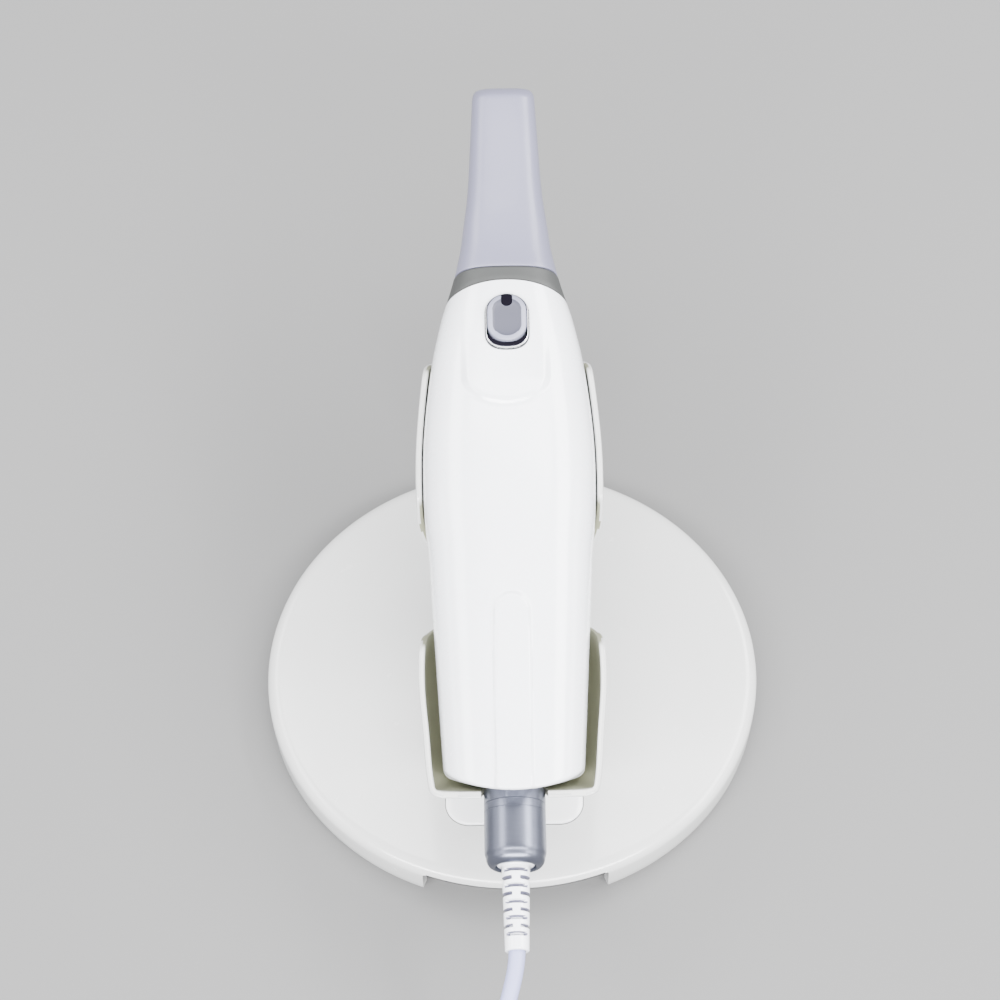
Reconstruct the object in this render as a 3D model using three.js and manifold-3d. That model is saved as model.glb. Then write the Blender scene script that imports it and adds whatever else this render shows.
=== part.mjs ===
// Intraoral scanner lying in the cradle of its round desk stand, with its cable coiled on the table.
// Millimetres, +Z up. +X is to the right and +Y runs towards the scanner's tip. The model is laid out
// with the disc's centre on the table at (0, 0, 0), and at the end the whole group is slid along Y,
// so that the origin is at the bottom centre of the object without its cable.
import * as THREE from 'three';
import { mergeVertices } from 'three/addons/utils/BufferGeometryUtils.js';
import Module from 'manifold-3d';

const wasm = await Module();
wasm.setup();

// ---- Driving dimensions ----
const GAP = 0.3; // between neighbouring pieces
const FAR = 50; // well outside the scanner and its cradle

// Stand
const BASE_RADIUS = 69;
const BASE_TOP = 13.6; // height of the disc's centre
const RIM_TOP = 11.9;
const SKIRT_BOTTOM = 1.2;
const COVER_WALL = 2.4;
const NOTCH_HALF_WIDTH = 25.3;
const NOTCH_TOP = 9.9;
const PLATE_RADIUS = 62.5;
const PLATE_BOTTOM = 2.5;
const PLATE_THICKNESS = 3.6;
const FOOT_RADIUS = 6.8;
const FOOT_HEIGHT = 2.2;
const FOOT_CIRCLE = 57.5;
const FOOT_TURN = 16; // degrees, clockwise from the front
const BASE_SCREW_CIRCLE = 44;
const PEDESTAL_HALF_WIDTH = 13;
const PEDESTAL_HALF_LENGTH = 26;
const PEDESTAL_Y = 4;
const PEDESTAL_SCREW_REACH = 14; // each way from the pedestal's middle
const BADGE_WIDTH = 37.6;
const BADGE_DEPTH = 20;
const BADGE_CORNER = 6.5;
const BADGE_FRONT_Y = -50.8;

// Scanner: u is across, s runs along its axis from the cable end to the tip, w is up from the axis
const TILT = 12; // degrees, tip end up
const AXIS_Y = -54.2; // where s = 0 is
const AXIS_Z = 38;
const HANDLE_LENGTH = 144.6;
const HANDLE_POWER = 2.5; // of the superellipse sections
const HANDLE_WALL = 2;
const SPLIT_HEIGHT = -2; // where the two halves of the housing meet
const HANDLE_INSET = 2.5; // of its cable end, from the cradle's end
const OVERHANG = 0.33; // how far the cable end leans out above the axis, for each mm of height
const LEAN_FROM = 2; // the height at which the cable end is nearest to the cradle's end
const END_BOW = { chord: 19, rise: 4.5 }; // of the domed cable end
const NOSE_BOW = { chord: 15.6, rise: 2.8 }; // of the domed nose end
const COLLAR_END = 149.4;
const SLEEVE_LENGTH = 62.3;
const SLEEVE_POWER = 3.2;
const SLEEVE_WALL = 1.3;
const NOSE_END = 184;
const NOSE_WIDTH = 14.8;
const NOSE_HEIGHT = 10.8;
const NOSE_WALL = 1.2;
const MIRROR_S = 200;
const SCAN_WINDOW = { from: 190, to: 205, halfWidth: 6.5 };

// Half widths and heights at stations along s
const HANDLE_SIDE = [
  [-6, 18.3], [2, 18.65], [9, 19.1], [25, 20.05], [45, 21.2], [57, 21.9],
  [68, 22.5], [75, 23.3], [84, 23.8], [100, 23.7], [114, 22.5], [126, 20.9], [132.5, 19.6],
  [139, 18.1], [145, 16.2], [151, 14.6], [156, 13.6],
];
const HANDLE_TOP = [
  [-6, 12.2], [-4.5, 13.1], [0, 13.6], [8, 14], [45, 15.6], [85, 17.6], [110, 17.3], [126, 16.3], [139, 14.3],
  [151, 11.9], [156, 10.9],
];
const HANDLE_BOTTOM = [
  [-6, 12.4], [8, 13.2], [45, 14.6], [85, 16.8], [110, 16], [126, 14.2], [139, 12.6],
  [151, 11.2], [156, 10.9],
];
const SLEEVE_SIDE = [
  [149, 14.9], [154.5, 13.8], [158.7, 12.95], [166, 12.1], [174, 11.05], [182, 10.4], [190, 10],
  [205, 9.2], [208.5, 8.9], [210.6, 8], [212, 5.6],
];
const SLEEVE_TOP = [
  [149, 12.1], [158, 10.3], [166, 9.3], [180, 8.3], [200, 7.5], [206, 6.8], [209.5, 5.2], [212, 1.8],
];
const SLEEVE_BOTTOM = [
  [149, 11.3], [166, 9.3], [180, 8.3], [200, 7.7], [207.5, 7.4], [210.6, 6.4], [212, 4],
];

// Cradle
const CRADLE_FROM = -2.9;
const CRADLE_TO = 129;
const CRADLE_WALL = 1.7;
const CRADLE_END_WALL = 2;
const LEAN_REACH = 18; // along s, of the end wall from its upright part to the trough's floor
const LEAN_DEPTH = 17;
const RIM_HEIGHT = 3;
const RIM_DIP = -13; // between the pocket and the ears
const RIM_STATIONS = [38, 54, 69, 85, 120, 135]; // where the rim is level, and where it falls and rises
const CONNECTOR_SLOT = 8.9; // half width
const CRADLE_SIDE = [
  [-3, 22.2], [0, 22.8], [16, 24.3], [30, 25.4], [38, 25.3], [46, 24.7], [57, 24.6], [68, 25],
  [78, 25.6], [88, 25.9], [98, 25.8], [110, 25], [120, 24], [129, 22.9],
];
const CRADLE_BOTTOM = [
  [-3, 14.8], [8, 15.4], [45, 16.8], [85, 19], [110, 18.2], [129, 15.9],
];

// Scan button, in its own frame on the slope of the housing
const BUTTON_S = 130.3;
const BUTTON_W = 15.75;
const BUTTON_SLOPE = 7.5; // degrees
const BEZEL_WIDTH = 12.1;
const BEZEL_LENGTH = 18.3;
const BEZEL_RIM = 0.4;
const BEZEL_LIP = 1.2; // how much wider its rim is at the cable end
const BEZEL_PROUD = 0.9;
const CAP_PROUD = 1.3;
const BUTTON_TRAVEL = 0.8;

// Connector
const BARREL_RADIUS = 8.2;
const BARREL_END = -21.5;
const BARREL_RING = -4.2; // where the socket ends and the coupling starts
const SOCKET_FACE = -0.5;
const SOCKET_RADIUS = 7.4; // inside the housing
const SOCKET_BORE = 6.3;
const SOCKET_DEPTH = 14;
const COUPLING_BORE = 6.7;
const PLUG_CORE_RADIUS = 5.9;
const BOOT_END = -44;

// Cable
const CABLE_DIAMETER = 4.4;
const CABLE_SIDES = 10;
const COIL_CENTRE = [8, -176];
const COIL_MIDDLE_RADIUS = 24.5;
const COIL_ACROSS = 4; // turns side by side
const COIL_LAYERS = 3;
const COIL_BOTTOM = 1.1; // the tie passes under it
const TIE_THICKNESS = 0.8;
const TIE_WIDTH = 12;
const PLUG_BODY = { width: 11, height: 6.4, length: 21 };
const PLUG_SHELL = { width: 8.3, height: 2.5, length: 6.7 };

// Centres of the cable's free stretch, from the strain relief to the coil
const ROUTE = [
  [0, -97.83, 28.73], [-0.5, -102, 27.9], [-1.6, -106.5, 26.8], [-2.9, -111, 25.3],
  [-4.6, -116, 23], [-6.8, -121.5, 19.8], [-9.3, -127, 16], [-12, -132.5, 12.2],
  [-14.7, -138, 8.9], [-17.3, -143.5, 6.3], [-19.9, -149.5, 4.5], [-21.9, -155.4, 3.7],
];

// ---- Materials ----
const material = (color, roughness, metalness = 0) =>
  new THREE.MeshStandardMaterial({ color, roughness, metalness });
const whitePlastic = material(0xf1f3f8, 0.32);
const standPlastic = material(0xeeede6, 0.25);
const greyPlastic = material(0xa0a3a2, 0.55);
const sleevePlastic = material(0xd4d4e0, 0.35);
const satinMetal = material(0xa7adbb, 0.3, 1);
const chromeMetal = material(0xdadde2, 0.1, 1);
const buttonPlastic = material(0xb9bac8, 0.4);
const darkWindow = material(0x2d2b37, 0.2);
const cablePlastic = material(0xdadaeb, 0.5);
const rubber = material(0x3a3a3c, 0.85);
const steel = material(0x9a9da0, 0.4, 1);
const aluminium = material(0xb8babd, 0.4, 1);
const boardGreen = material(0x1f5c3a, 0.6);
const glass = material(0xcfe0e6, 0.05);
const mirrorMetal = material(0xe8ecef, 0.02, 1);
const clearResin = material(0xf3f4f6, 0.1);

// ---- Helpers ----

/** A closed solid from a geometry's triangles, with its faces pointing out. */
function solidOf(geometry) {
  const bare = new THREE.BufferGeometry();
  bare.setAttribute('position', geometry.attributes.position.clone());
  if (geometry.index) {
    bare.setIndex(geometry.index.clone());
  }
  const merged = mergeVertices(bare, 1e-4);
  const corners = merged.index.array;
  const kept = [];
  for (let i = 0; i < corners.length; i += 3) {
    const [a, b, c] = corners.slice(i, i + 3);
    if (a !== b && b !== c && c !== a) {
      kept.push(a, b, c);
    }
  }
  const vertProperties = new Float32Array(merged.attributes.position.array);
  const made = (triVerts) => new wasm.Manifold(new wasm.Mesh({ numProp: 3, vertProperties, triVerts }));
  const solid = made(new Uint32Array(kept));
  return solid.volume() > 0 ? solid : made(new Uint32Array(kept.reverse()));
}

function geometryOf(solid) {
  const mesh = solid.getMesh();
  const geometry = new THREE.BufferGeometry();
  geometry.setAttribute('position', new THREE.BufferAttribute(mesh.vertProperties, 3));
  geometry.setIndex(new THREE.BufferAttribute(mesh.triVerts, 1));
  geometry.computeVertexNormals();
  return geometry;
}

function add(group, name, solid, finish) {
  const mesh = new THREE.Mesh(geometryOf(solid), finish);
  mesh.name = name;
  group.add(mesh);
  return mesh;
}

/** A solid of one group, as it lies in that group's parent. */
const placed = (solid, group) => {
  group.updateMatrix();
  return solidOf(geometryOf(solid).applyMatrix4(group.matrix));
};

/** A smooth curve through [station, value] pairs. */
function curveOf(pairs) {
  const stations = pairs.map(([s]) => s);
  const values = pairs.map(([, v]) => v);
  const curve = new THREE.CubicInterpolant(stations, values, 1);
  return (s) => curve.evaluate(THREE.MathUtils.clamp(s, stations[0], stations.at(-1)))[0];
}

const softPower = (x, power) => (Math.abs(x) < 1e-6 ? 0 : Math.sign(x) * Math.abs(x) ** power);

/** A body of superellipse sections along Y. `at(s)` gives each section's half widths and heights. */
function loft(stations, sides, at) {
  const grid = new THREE.CylinderGeometry(1, 1, 1, sides, stations.length - 1);
  const place = grid.attributes.position;
  for (let i = 0; i < place.count; i++) {
    const s = stations[Math.round((place.getY(i) + 0.5) * (stations.length - 1))];
    const radius = Math.hypot(place.getX(i), place.getZ(i));
    const angle = Math.atan2(place.getZ(i), place.getX(i));
    const { side, top, bottom, power, topPower = power } = at(s);
    const up = Math.sin(angle) > 0;
    const bend = 2 / (up ? topPower : power);
    const u = radius * side * softPower(Math.cos(angle), bend);
    const w = radius * (up ? top : bottom) * softPower(Math.sin(angle), bend);
    place.setXYZ(i, u, s, w);
  }
  return solidOf(grid);
}

/** Numbers from one end to the other, evenly spaced. */
const evenly = (from, to, count) =>
  Array.from({ length: count + 1 }, (_, i) => from + ((to - from) * i) / count);

/** A solid turned about Y, from [radius, s] points; `closed` joins the last point to the first. */
function turned(points, sides = 24, closed = false) {
  const outline = points.map(([r, s]) => new THREE.Vector2(r, s));
  if (closed) {
    outline.push(outline[0].clone());
  }
  return solidOf(new THREE.LatheGeometry(outline, sides));
}

/** The same, turned about Z at (x, y). */
function turnedUp(points, sides = 24, x = 0, y = 0, closed = false) {
  const upright = geometryOf(turned(points, sides, closed)).rotateX(Math.PI / 2);
  return solidOf(upright.translate(x, y, 0));
}

/** An upright round bar. */
const bar = (radius, low, high, x = 0, y = 0, sides = 12) =>
  turnedUp([[0, low], [radius, low], [radius, high], [0, high]], sides, x, y);

/** A round bar along Y. */
const axle = (radius, from, to, sides = 24) =>
  turned([[0, from], [radius, from], [radius, to], [0, to]], sides);

function box(width, length, height, x, y, z) {
  return solidOf(new THREE.BoxGeometry(width, length, height).translate(x, y, z));
}

function roundedRectangle(width, height, radius) {
  const x = width / 2;
  const y = height / 2;
  const shape = new THREE.Shape();
  shape.moveTo(-x + radius, -y);
  shape.lineTo(x - radius, -y);
  shape.absarc(x - radius, -y + radius, radius, -Math.PI / 2, 0);
  shape.lineTo(x, y - radius);
  shape.absarc(x - radius, y - radius, radius, 0, Math.PI / 2);
  shape.lineTo(-x + radius, y);
  shape.absarc(-x + radius, y - radius, radius, Math.PI / 2, Math.PI);
  shape.lineTo(-x, -y + radius);
  shape.absarc(-x + radius, -y + radius, radius, Math.PI, Math.PI * 1.5);
  return shape;
}

/** A flat shape given thickness along Z. */
function slab(shape, low, high, curveSegments = 6) {
  const options = { depth: high - low, bevelEnabled: false, curveSegments };
  return solidOf(new THREE.ExtrudeGeometry(shape, options).translate(0, 0, low));
}

/** A shape drawn in u and w, run along Y. */
function beam(shape, from, to, curveSegments = 4) {
  const along = geometryOf(slab(shape, 0, to - from, curveSegments));
  return solidOf(along.rotateX(Math.PI / 2).translate(0, to, 0));
}

/** A shape drawn in s and w, run across along X. */
function crossSlab(shape, halfWidth) {
  const across = geometryOf(slab(shape, -halfWidth, halfWidth, 8));
  return solidOf(across.rotateX(Math.PI / 2).rotateZ(Math.PI / 2));
}

const radians = THREE.MathUtils.degToRad;

// ---- Groups ----
const device = new THREE.Group();
const stand = new THREE.Group();
const scanner = new THREE.Group();
scanner.position.set(0, AXIS_Y, AXIS_Z);
scanner.rotation.x = radians(TILT);
const cord = new THREE.Group();
device.add(stand, scanner, cord);

// ---- Stand ----

/** The height of the disc's upper face at a radius. */
const discTop = (radius) => BASE_TOP - (BASE_TOP - RIM_TOP) * (radius / BASE_RADIUS) ** 2;

const around = (count, turn, radius) =>
  Array.from({ length: count }, (_, i) => {
    const angle = radians(-90 - turn - (i * 360) / count);
    return [radius * Math.cos(angle), radius * Math.sin(angle)];
  });

const footPlaces = around(4, FOOT_TURN, FOOT_CIRCLE);
const baseScrewPlaces = around(4, FOOT_TURN + 45, BASE_SCREW_CIRCLE);
const pedestalScrewPlaces = [-1, 1].map((side) => [0, PEDESTAL_Y + side * PEDESTAL_SCREW_REACH]);

function makeBaseCover() {
  const dome = evenly(0, 64, 4).map((r) => [r, discTop(r)]);
  const edge = [[67, discTop(66) - 0.3], [68.5, RIM_TOP - 1], [BASE_RADIUS, RIM_TOP - 2.6]];
  const skirt = [[BASE_RADIUS - 0.6, SKIRT_BOTTOM], [BASE_RADIUS - 2.8, SKIRT_BOTTOM]];
  const ceiling = [[BASE_RADIUS - 2.8, NOTCH_TOP - 0.8], [62, discTop(62) - COVER_WALL]];
  const middle = [[30, discTop(30) - COVER_WALL], [0, discTop(0) - COVER_WALL]];
  let cover = turnedUp([...dome, ...edge, ...skirt, ...ceiling, ...middle], 48);
  const front = -BASE_RADIUS + 4;
  cover = cover.subtract(box(2 * NOTCH_HALF_WIDTH, 16, 20, 0, front, NOTCH_TOP - 10));
  const plateTop = PLATE_BOTTOM + PLATE_THICKNESS;
  for (const [x, y] of baseScrewPlaces) {
    cover = cover.add(bar(4, plateTop + GAP, discTop(BASE_SCREW_CIRCLE) - 1.5, x, y));
    cover = cover.subtract(bar(1.6, plateTop, plateTop + 4.8, x, y));
  }
  for (const [x, y] of pedestalScrewPlaces) {
    cover = cover.subtract(bar(2.3, 0, BASE_TOP + 5, x, y));
  }
  return cover;
}

function makeBasePlate() {
  let plate = bar(PLATE_RADIUS, PLATE_BOTTOM, PLATE_BOTTOM + PLATE_THICKNESS, 0, 0, 40);
  for (const [x, y] of [...baseScrewPlaces, ...pedestalScrewPlaces]) {
    plate = plate.subtract(bar(2.3, 0, 10, x, y));
    plate = plate.subtract(bar(4.1, 0, PLATE_BOTTOM + 1.8, x, y));
  }
  return plate;
}

/** A cap-head screw standing head down. */
const screwUp = (headRadius, shaftRadius, seat, tip, x, y) =>
  turnedUp([[0, seat - 1.7], [headRadius, seat - 1.7], [headRadius, seat], [shaftRadius, seat],
    [shaftRadius, tip], [0, tip]], 10, x, y);

add(stand, 'base_cover', makeBaseCover(), standPlastic);
add(stand, 'base_plate', makeBasePlate(), steel);
footPlaces.forEach(([x, y], i) => {
  const foot = turnedUp([[0, 0], [FOOT_RADIUS - 0.5, 0], [FOOT_RADIUS, 0.5],
    [FOOT_RADIUS, FOOT_HEIGHT], [0, FOOT_HEIGHT]], 16, x, y);
  add(stand, `foot_${i + 1}`, foot, rubber);
});
const screwSeat = PLATE_BOTTOM + 1.8 - GAP;
baseScrewPlaces.forEach(([x, y], i) => {
  add(stand, `base_screw_${i + 1}`, screwUp(3.6, 1.3, screwSeat, 10.2, x, y), steel);
});
pedestalScrewPlaces.forEach(([x, y], i) => {
  add(stand, `pedestal_screw_${i + 1}`, screwUp(3.6, 1.9, screwSeat, 22, x, y), steel);
});

function makeBadge() {
  const outline = roundedRectangle(BADGE_WIDTH, BADGE_DEPTH, BADGE_CORNER);
  const middle = BADGE_FRONT_Y + BADGE_DEPTH / 2;
  const lid = slab(outline, 11, discTop(0) + 0.7);
  const lifted = evenly(0, 66, 6).map((r) => [r, discTop(r) + GAP]);
  const disc = turnedUp([...lifted, [66, 8], [0, 8]], 48);
  return solidOf(geometryOf(lid).translate(0, middle, 0)).subtract(disc);
}
add(stand, 'badge', makeBadge(), clearResin);

// ---- Cradle ----
const cradleSide = curveOf(CRADLE_SIDE);
const cradleBottom = curveOf(CRADLE_BOTTOM);

/** The trough's outer surface moved in or out, with upright walls above the axis. */
const troughAt = (grow) => (s) => ({
  side: cradleSide(s) + grow,
  top: 40,
  bottom: cradleBottom(s) + grow,
  power: HANDLE_POWER,
  topPower: 24,
});

/**
 * Everything on the tip side of an end face, `inset` behind the cradle's, that leans in below the axis
 * and, by `overhang`, out above it.
 */
function leaningEnd(inset, overhang = 0) {
  const s = CRADLE_FROM + inset;
  const floor = inset - LEAN_DEPTH;
  const shape = new THREE.Shape();
  shape.moveTo(s - overhang * (FAR - LEAN_FROM), FAR);
  shape.lineTo(s, LEAN_FROM);
  shape.quadraticCurveTo(s + LEAN_REACH / 3, floor + 4, s + LEAN_REACH, floor);
  shape.lineTo(CRADLE_TO + FAR, floor - FAR);
  shape.lineTo(CRADLE_TO + FAR, FAR);
  return crossSlab(shape, FAR);
}

/** Everything above the cradle's rim: level over the pocket and the ears, dipped between them. */
function aboveRim() {
  const shape = new THREE.Shape();
  const [pocketEnd, dipStart, dipEnd, earStart, earEnd, earTip] = RIM_STATIONS;
  const wave = (from, to, low, high) => {
    const middle = (from + to) / 2;
    shape.bezierCurveTo(middle, low, middle, high, to, high);
  };
  shape.moveTo(-FAR, RIM_HEIGHT);
  shape.lineTo(pocketEnd, RIM_HEIGHT);
  wave(pocketEnd, dipStart, RIM_HEIGHT, RIM_DIP);
  shape.lineTo(dipEnd, RIM_DIP);
  wave(dipEnd, earStart, RIM_DIP, RIM_HEIGHT);
  shape.lineTo(earEnd, RIM_HEIGHT);
  wave(earEnd, earTip, RIM_HEIGHT, RIM_DIP);
  shape.lineTo(earTip, FAR);
  shape.lineTo(-FAR, FAR);
  return crossSlab(shape, FAR);
}

function makeCradle() {
  const outer = loft(evenly(CRADLE_FROM, CRADLE_TO, 14), 36, troughAt(0)).intersect(leaningEnd(0));
  const inner = loft(evenly(CRADLE_FROM, CRADLE_TO + 4, 14), 36, troughAt(-CRADLE_WALL))
    .intersect(leaningEnd(CRADLE_END_WALL));
  const slot = axle(CONNECTOR_SLOT, -8, 12).add(box(2 * CONNECTOR_SLOT, 10, 40, 0, -3, 20));
  return outer.subtract(inner).subtract(aboveRim()).subtract(slot);
}
add(scanner, 'cradle', makeCradle(), standPlastic);

function makePedestal() {
  const foot = new THREE.Shape();
  foot.absellipse(0, PEDESTAL_Y, PEDESTAL_HALF_WIDTH, PEDESTAL_HALF_LENGTH, 0, 2 * Math.PI);
  const trough = loft(evenly(CRADLE_FROM - 6, CRADLE_TO, 14), 36, troughAt(GAP));
  let post = slab(foot, BASE_TOP + GAP, 50, 10).subtract(placed(trough, scanner));
  for (const [x, y] of pedestalScrewPlaces) {
    post = post.subtract(bar(2.2, 0, 22 + GAP, x, y));
  }
  return post;
}
add(stand, 'pedestal', makePedestal(), standPlastic);

// ---- Housing ----
const handleSide = curveOf(HANDLE_SIDE);
const handleTop = curveOf(HANDLE_TOP);
const handleBottom = curveOf(HANDLE_BOTTOM);
const handleAt = (grow) => (s) => ({
  side: handleSide(s) + grow,
  top: handleTop(s) + grow,
  bottom: handleBottom(s) + grow,
  power: HANDLE_POWER,
});

/** A plan that is bounded by an arc with its middle at `end`, bulging along Y towards `away`. */
function domedPlan({ chord, rise }, end, grow, away) {
  const radius = (chord ** 2 + rise ** 2) / (2 * rise);
  const spread = 0.63;
  const facing = (away * Math.PI) / 2;
  const shape = new THREE.Shape();
  shape.absarc(0, end - away * radius, radius + grow, facing - spread, facing + spread);
  shape.lineTo(-away * FAR, end - away * 3 * FAR);
  shape.lineTo(away * FAR, end - away * 3 * FAR);
  return slab(shape, -FAR, FAR, 8);
}

/** Everything on the tip side of the housing's domed cable end, which overhangs. */
function fromCableEnd(grow) {
  const upright = geometryOf(domedPlan(END_BOW, CRADLE_FROM + HANDLE_INSET, grow, -1));
  const slant = new THREE.Matrix4().set(
    1, 0, 0, 0,
    0, 1, -OVERHANG, OVERHANG * LEAN_FROM,
    0, 0, 1, 0,
    0, 0, 0, 1,
  );
  return solidOf(upright.applyMatrix4(slant));
}

/** Everything on the cable side of the housing's domed nose end. */
const toNoseEnd = (grow) => domedPlan(NOSE_BOW, HANDLE_LENGTH, grow, 1);

const stadium = (width, length) => roundedRectangle(width, length, width / 2);

// The button's frame: its Z is square to the housing's surface
const button = new THREE.Group();
button.position.set(0, BUTTON_S, BUTTON_W);
button.rotation.x = -radians(BUTTON_SLOPE);
scanner.add(button);

const housingScrewPlaces = [[-13, 16], [13, 16], [-14.5, 99], [14.5, 99]];
const HOUSING_SCREW_SEAT = -8.2;
const HOUSING_SCREW_TIP = 4;

function makeHousing() {
  const stations = [-6, -4.5, -2, 2, 9, ...evenly(20, 65, 3), ...evenly(72, 150, 9)];
  const outer = loft(stations, 32, handleAt(0))
    .intersect(fromCableEnd(0))
    .intersect(toNoseEnd(0))
    .intersect(leaningEnd(HANDLE_INSET, OVERHANG));
  const hollow = loft([-4.5, 0, 8, ...evenly(30, 158, 8)], 24, handleAt(-HANDLE_WALL))
    .intersect(fromCableEnd(-HANDLE_WALL))
    .intersect(leaningEnd(HANDLE_INSET + HANDLE_WALL, OVERHANG));
  let shell = outer.subtract(hollow);
  for (const [u, s] of housingScrewPlaces) {
    shell = shell.add(bar(3.3, -30, 30, u, s).intersect(outer));
    shell = shell.subtract(bar(2.6, -30, HOUSING_SCREW_SEAT, u, s));
    shell = shell.subtract(bar(1.5, -10, HOUSING_SCREW_TIP + GAP, u, s));
  }
  shell = shell.subtract(axle(SOCKET_RADIUS + 0.5, -8, SOCKET_DEPTH));
  shell = shell.subtract(axle(BARREL_RADIUS + GAP, -8, SOCKET_FACE + GAP));
  const hole = slab(stadium(BEZEL_WIDTH + 2 * GAP, BEZEL_LENGTH + 2 * GAP), -6, 6);
  shell = shell.subtract(placed(hole, button));
  const upper = box(80, 200, 60, 0, 75, SPLIT_HEIGHT + GAP / 2 + 30);
  const lower = box(80, 200, 60, 0, 75, SPLIT_HEIGHT - GAP / 2 - 30);
  return [shell.intersect(upper), shell.intersect(lower)];
}
const [housingTop, housingBottom] = makeHousing();
add(scanner, 'housing_top', housingTop, whitePlastic);
add(scanner, 'housing_bottom', housingBottom, whitePlastic);
housingScrewPlaces.forEach(([u, s], i) => {
  const screw = screwUp(2.3, 1.2, HOUSING_SCREW_SEAT - GAP, HOUSING_SCREW_TIP, u, s);
  add(scanner, `housing_screw_${i + 1}`, screw, steel);
});

// ---- Nose, collar and tip ----
const noseSection = (grow) => roundedRectangle(NOSE_WIDTH + 2 * grow, NOSE_HEIGHT + 2 * grow, 2.5 + grow);

const collar = loft(evenly(140, COLLAR_END, 4), 32, handleAt(0))
  .subtract(toNoseEnd(GAP))
  .subtract(beam(noseSection(GAP), 130, 170));
add(scanner, 'collar', collar, greyPlastic);

const noseTube = beam(noseSection(0), 146.6, NOSE_END)
  .subtract(beam(noseSection(-NOSE_WALL), 140, NOSE_END + 5));
add(scanner, 'nose_tube', noseTube, aluminium);
add(scanner, 'nose_window', beam(noseSection(0), NOSE_END + GAP, NOSE_END + 1.5), glass);

const sleeveSide = curveOf(SLEEVE_SIDE);
const sleeveTop = curveOf(SLEEVE_TOP);
const sleeveBottom = curveOf(SLEEVE_BOTTOM);
const sleeveAt = (grow) => (s) => ({
  side: sleeveSide(s) + grow,
  top: sleeveTop(s) + grow,
  bottom: sleeveBottom(s) + grow,
  power: SLEEVE_POWER,
});

function makeSleeve() {
  const from = COLLAR_END + GAP;
  const end = from + SLEEVE_LENGTH;
  const outer = loft([...evenly(from, 205, 7), 208.5, 210.6, end], 32, sleeveAt(0));
  const hollow = loft([...evenly(from - 3, 204, 5), 208], 24, sleeveAt(-SLEEVE_WALL));
  const { from: near, to: far, halfWidth } = SCAN_WINDOW;
  const window = box(2 * halfWidth, far - near, 10, 0, (near + far) / 2, -8);
  return outer.subtract(hollow).subtract(window);
}
add(scanner, 'tip_sleeve', makeSleeve(), sleevePlastic);

const mirror = new THREE.BoxGeometry(13, 13.4, 1).rotateX(-Math.PI / 4).translate(0, MIRROR_S, 0);
add(scanner, 'tip_mirror', solidOf(mirror), mirrorMetal);

// ---- Optics and electronics ----
add(scanner, 'optics_block', box(17, 38, 10, 0, 124, -2.5), aluminium);

/** A lens barrel with a chamfered front, beside the axis. */
const lens = (radius, u) => {
  const back = 146;
  const front = 158;
  const barrel = turned([[0, back], [radius, back], [radius, front - 1], [radius - 0.8, front], [0, front]]);
  return solidOf(geometryOf(barrel).translate(u, 0, 0));
};
add(scanner, 'camera_lens', lens(3.1, -2.8), aluminium);
add(scanner, 'projector_lens', lens(2.4, 3.4), aluminium);
add(scanner, 'main_board', box(19, 80, 1.6, 0, 58, 7), boardGreen);

function makeHeatSpreader() {
  const fins = 5;
  const pitch = 4;
  const half = 10;
  const shape = new THREE.Shape();
  shape.moveTo(-half, 0);
  for (let i = 0; i < fins; i++) {
    const left = -half + i * pitch + (pitch - 1) / 2;
    shape.lineTo(left, 0);
    shape.lineTo(left, -5);
    shape.lineTo(left + 1, -5);
    shape.lineTo(left + 1, 0);
  }
  shape.lineTo(half, 0);
  shape.lineTo(half, 2);
  shape.lineTo(-half, 2);
  const spreader = geometryOf(beam(shape, 58, 98));
  return solidOf(spreader.translate(0, 0, -3));
}
add(scanner, 'heat_spreader', makeHeatSpreader(), aluminium);

// ---- Scan button ----
const openingWidth = BEZEL_WIDTH - 2 * BEZEL_RIM;
const openingLength = BEZEL_LENGTH - 2 * BEZEL_RIM - BEZEL_LIP;
const openingY = BEZEL_LIP / 2;
const capWidth = openingWidth - 2 * GAP;
const capLength = openingLength - 2 * GAP;
const STEM_END = -5.6;
const WINDOW_WIDTH = 3;
const WINDOW_LENGTH = 3.6;

const opening = geometryOf(slab(stadium(openingWidth, openingLength), -8, 8)).translate(0, openingY, 0);
const bezel = slab(stadium(BEZEL_WIDTH, BEZEL_LENGTH), -2.4, BEZEL_PROUD).subtract(solidOf(opening));
add(button, 'button_bezel', bezel, chromeMetal);

/** The status window's outline: square towards the tip and round towards the cable. */
function windowSlab(grow, low, high) {
  const half = WINDOW_WIDTH / 2 + grow;
  const front = capLength / 2 + 1;
  const back = capLength / 2 - WINDOW_LENGTH + WINDOW_WIDTH / 2;
  const shape = new THREE.Shape();
  shape.moveTo(half, front);
  shape.lineTo(-half, front);
  shape.absarc(0, back, half, Math.PI, 2 * Math.PI);
  return slab(shape, low, high, 8);
}
const capOutline = slab(stadium(capWidth, capLength), -1.6, CAP_PROUD);
const cap = capOutline.subtract(windowSlab(GAP, 0.2, 5)).add(bar(2, STEM_END, -1));
add(button, 'button_cap', cap, buttonPlastic).position.y = openingY;
const status = windowSlab(0, 0.2 + GAP, CAP_PROUD)
  .intersect(slab(stadium(capWidth - 0.2, capLength - 0.2), -5, 5));
add(button, 'status_window', status, darkWindow).position.y = openingY;

const switchTop = STEM_END - BUTTON_TRAVEL - GAP;
add(button, 'button_switch', box(6, 6, 3, 0, 0, switchTop - 1.5), rubber);
add(button, 'button_board', box(14, 18, 1.2, 0, 0, switchTop - 3 - GAP - 0.6), boardGreen);

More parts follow.
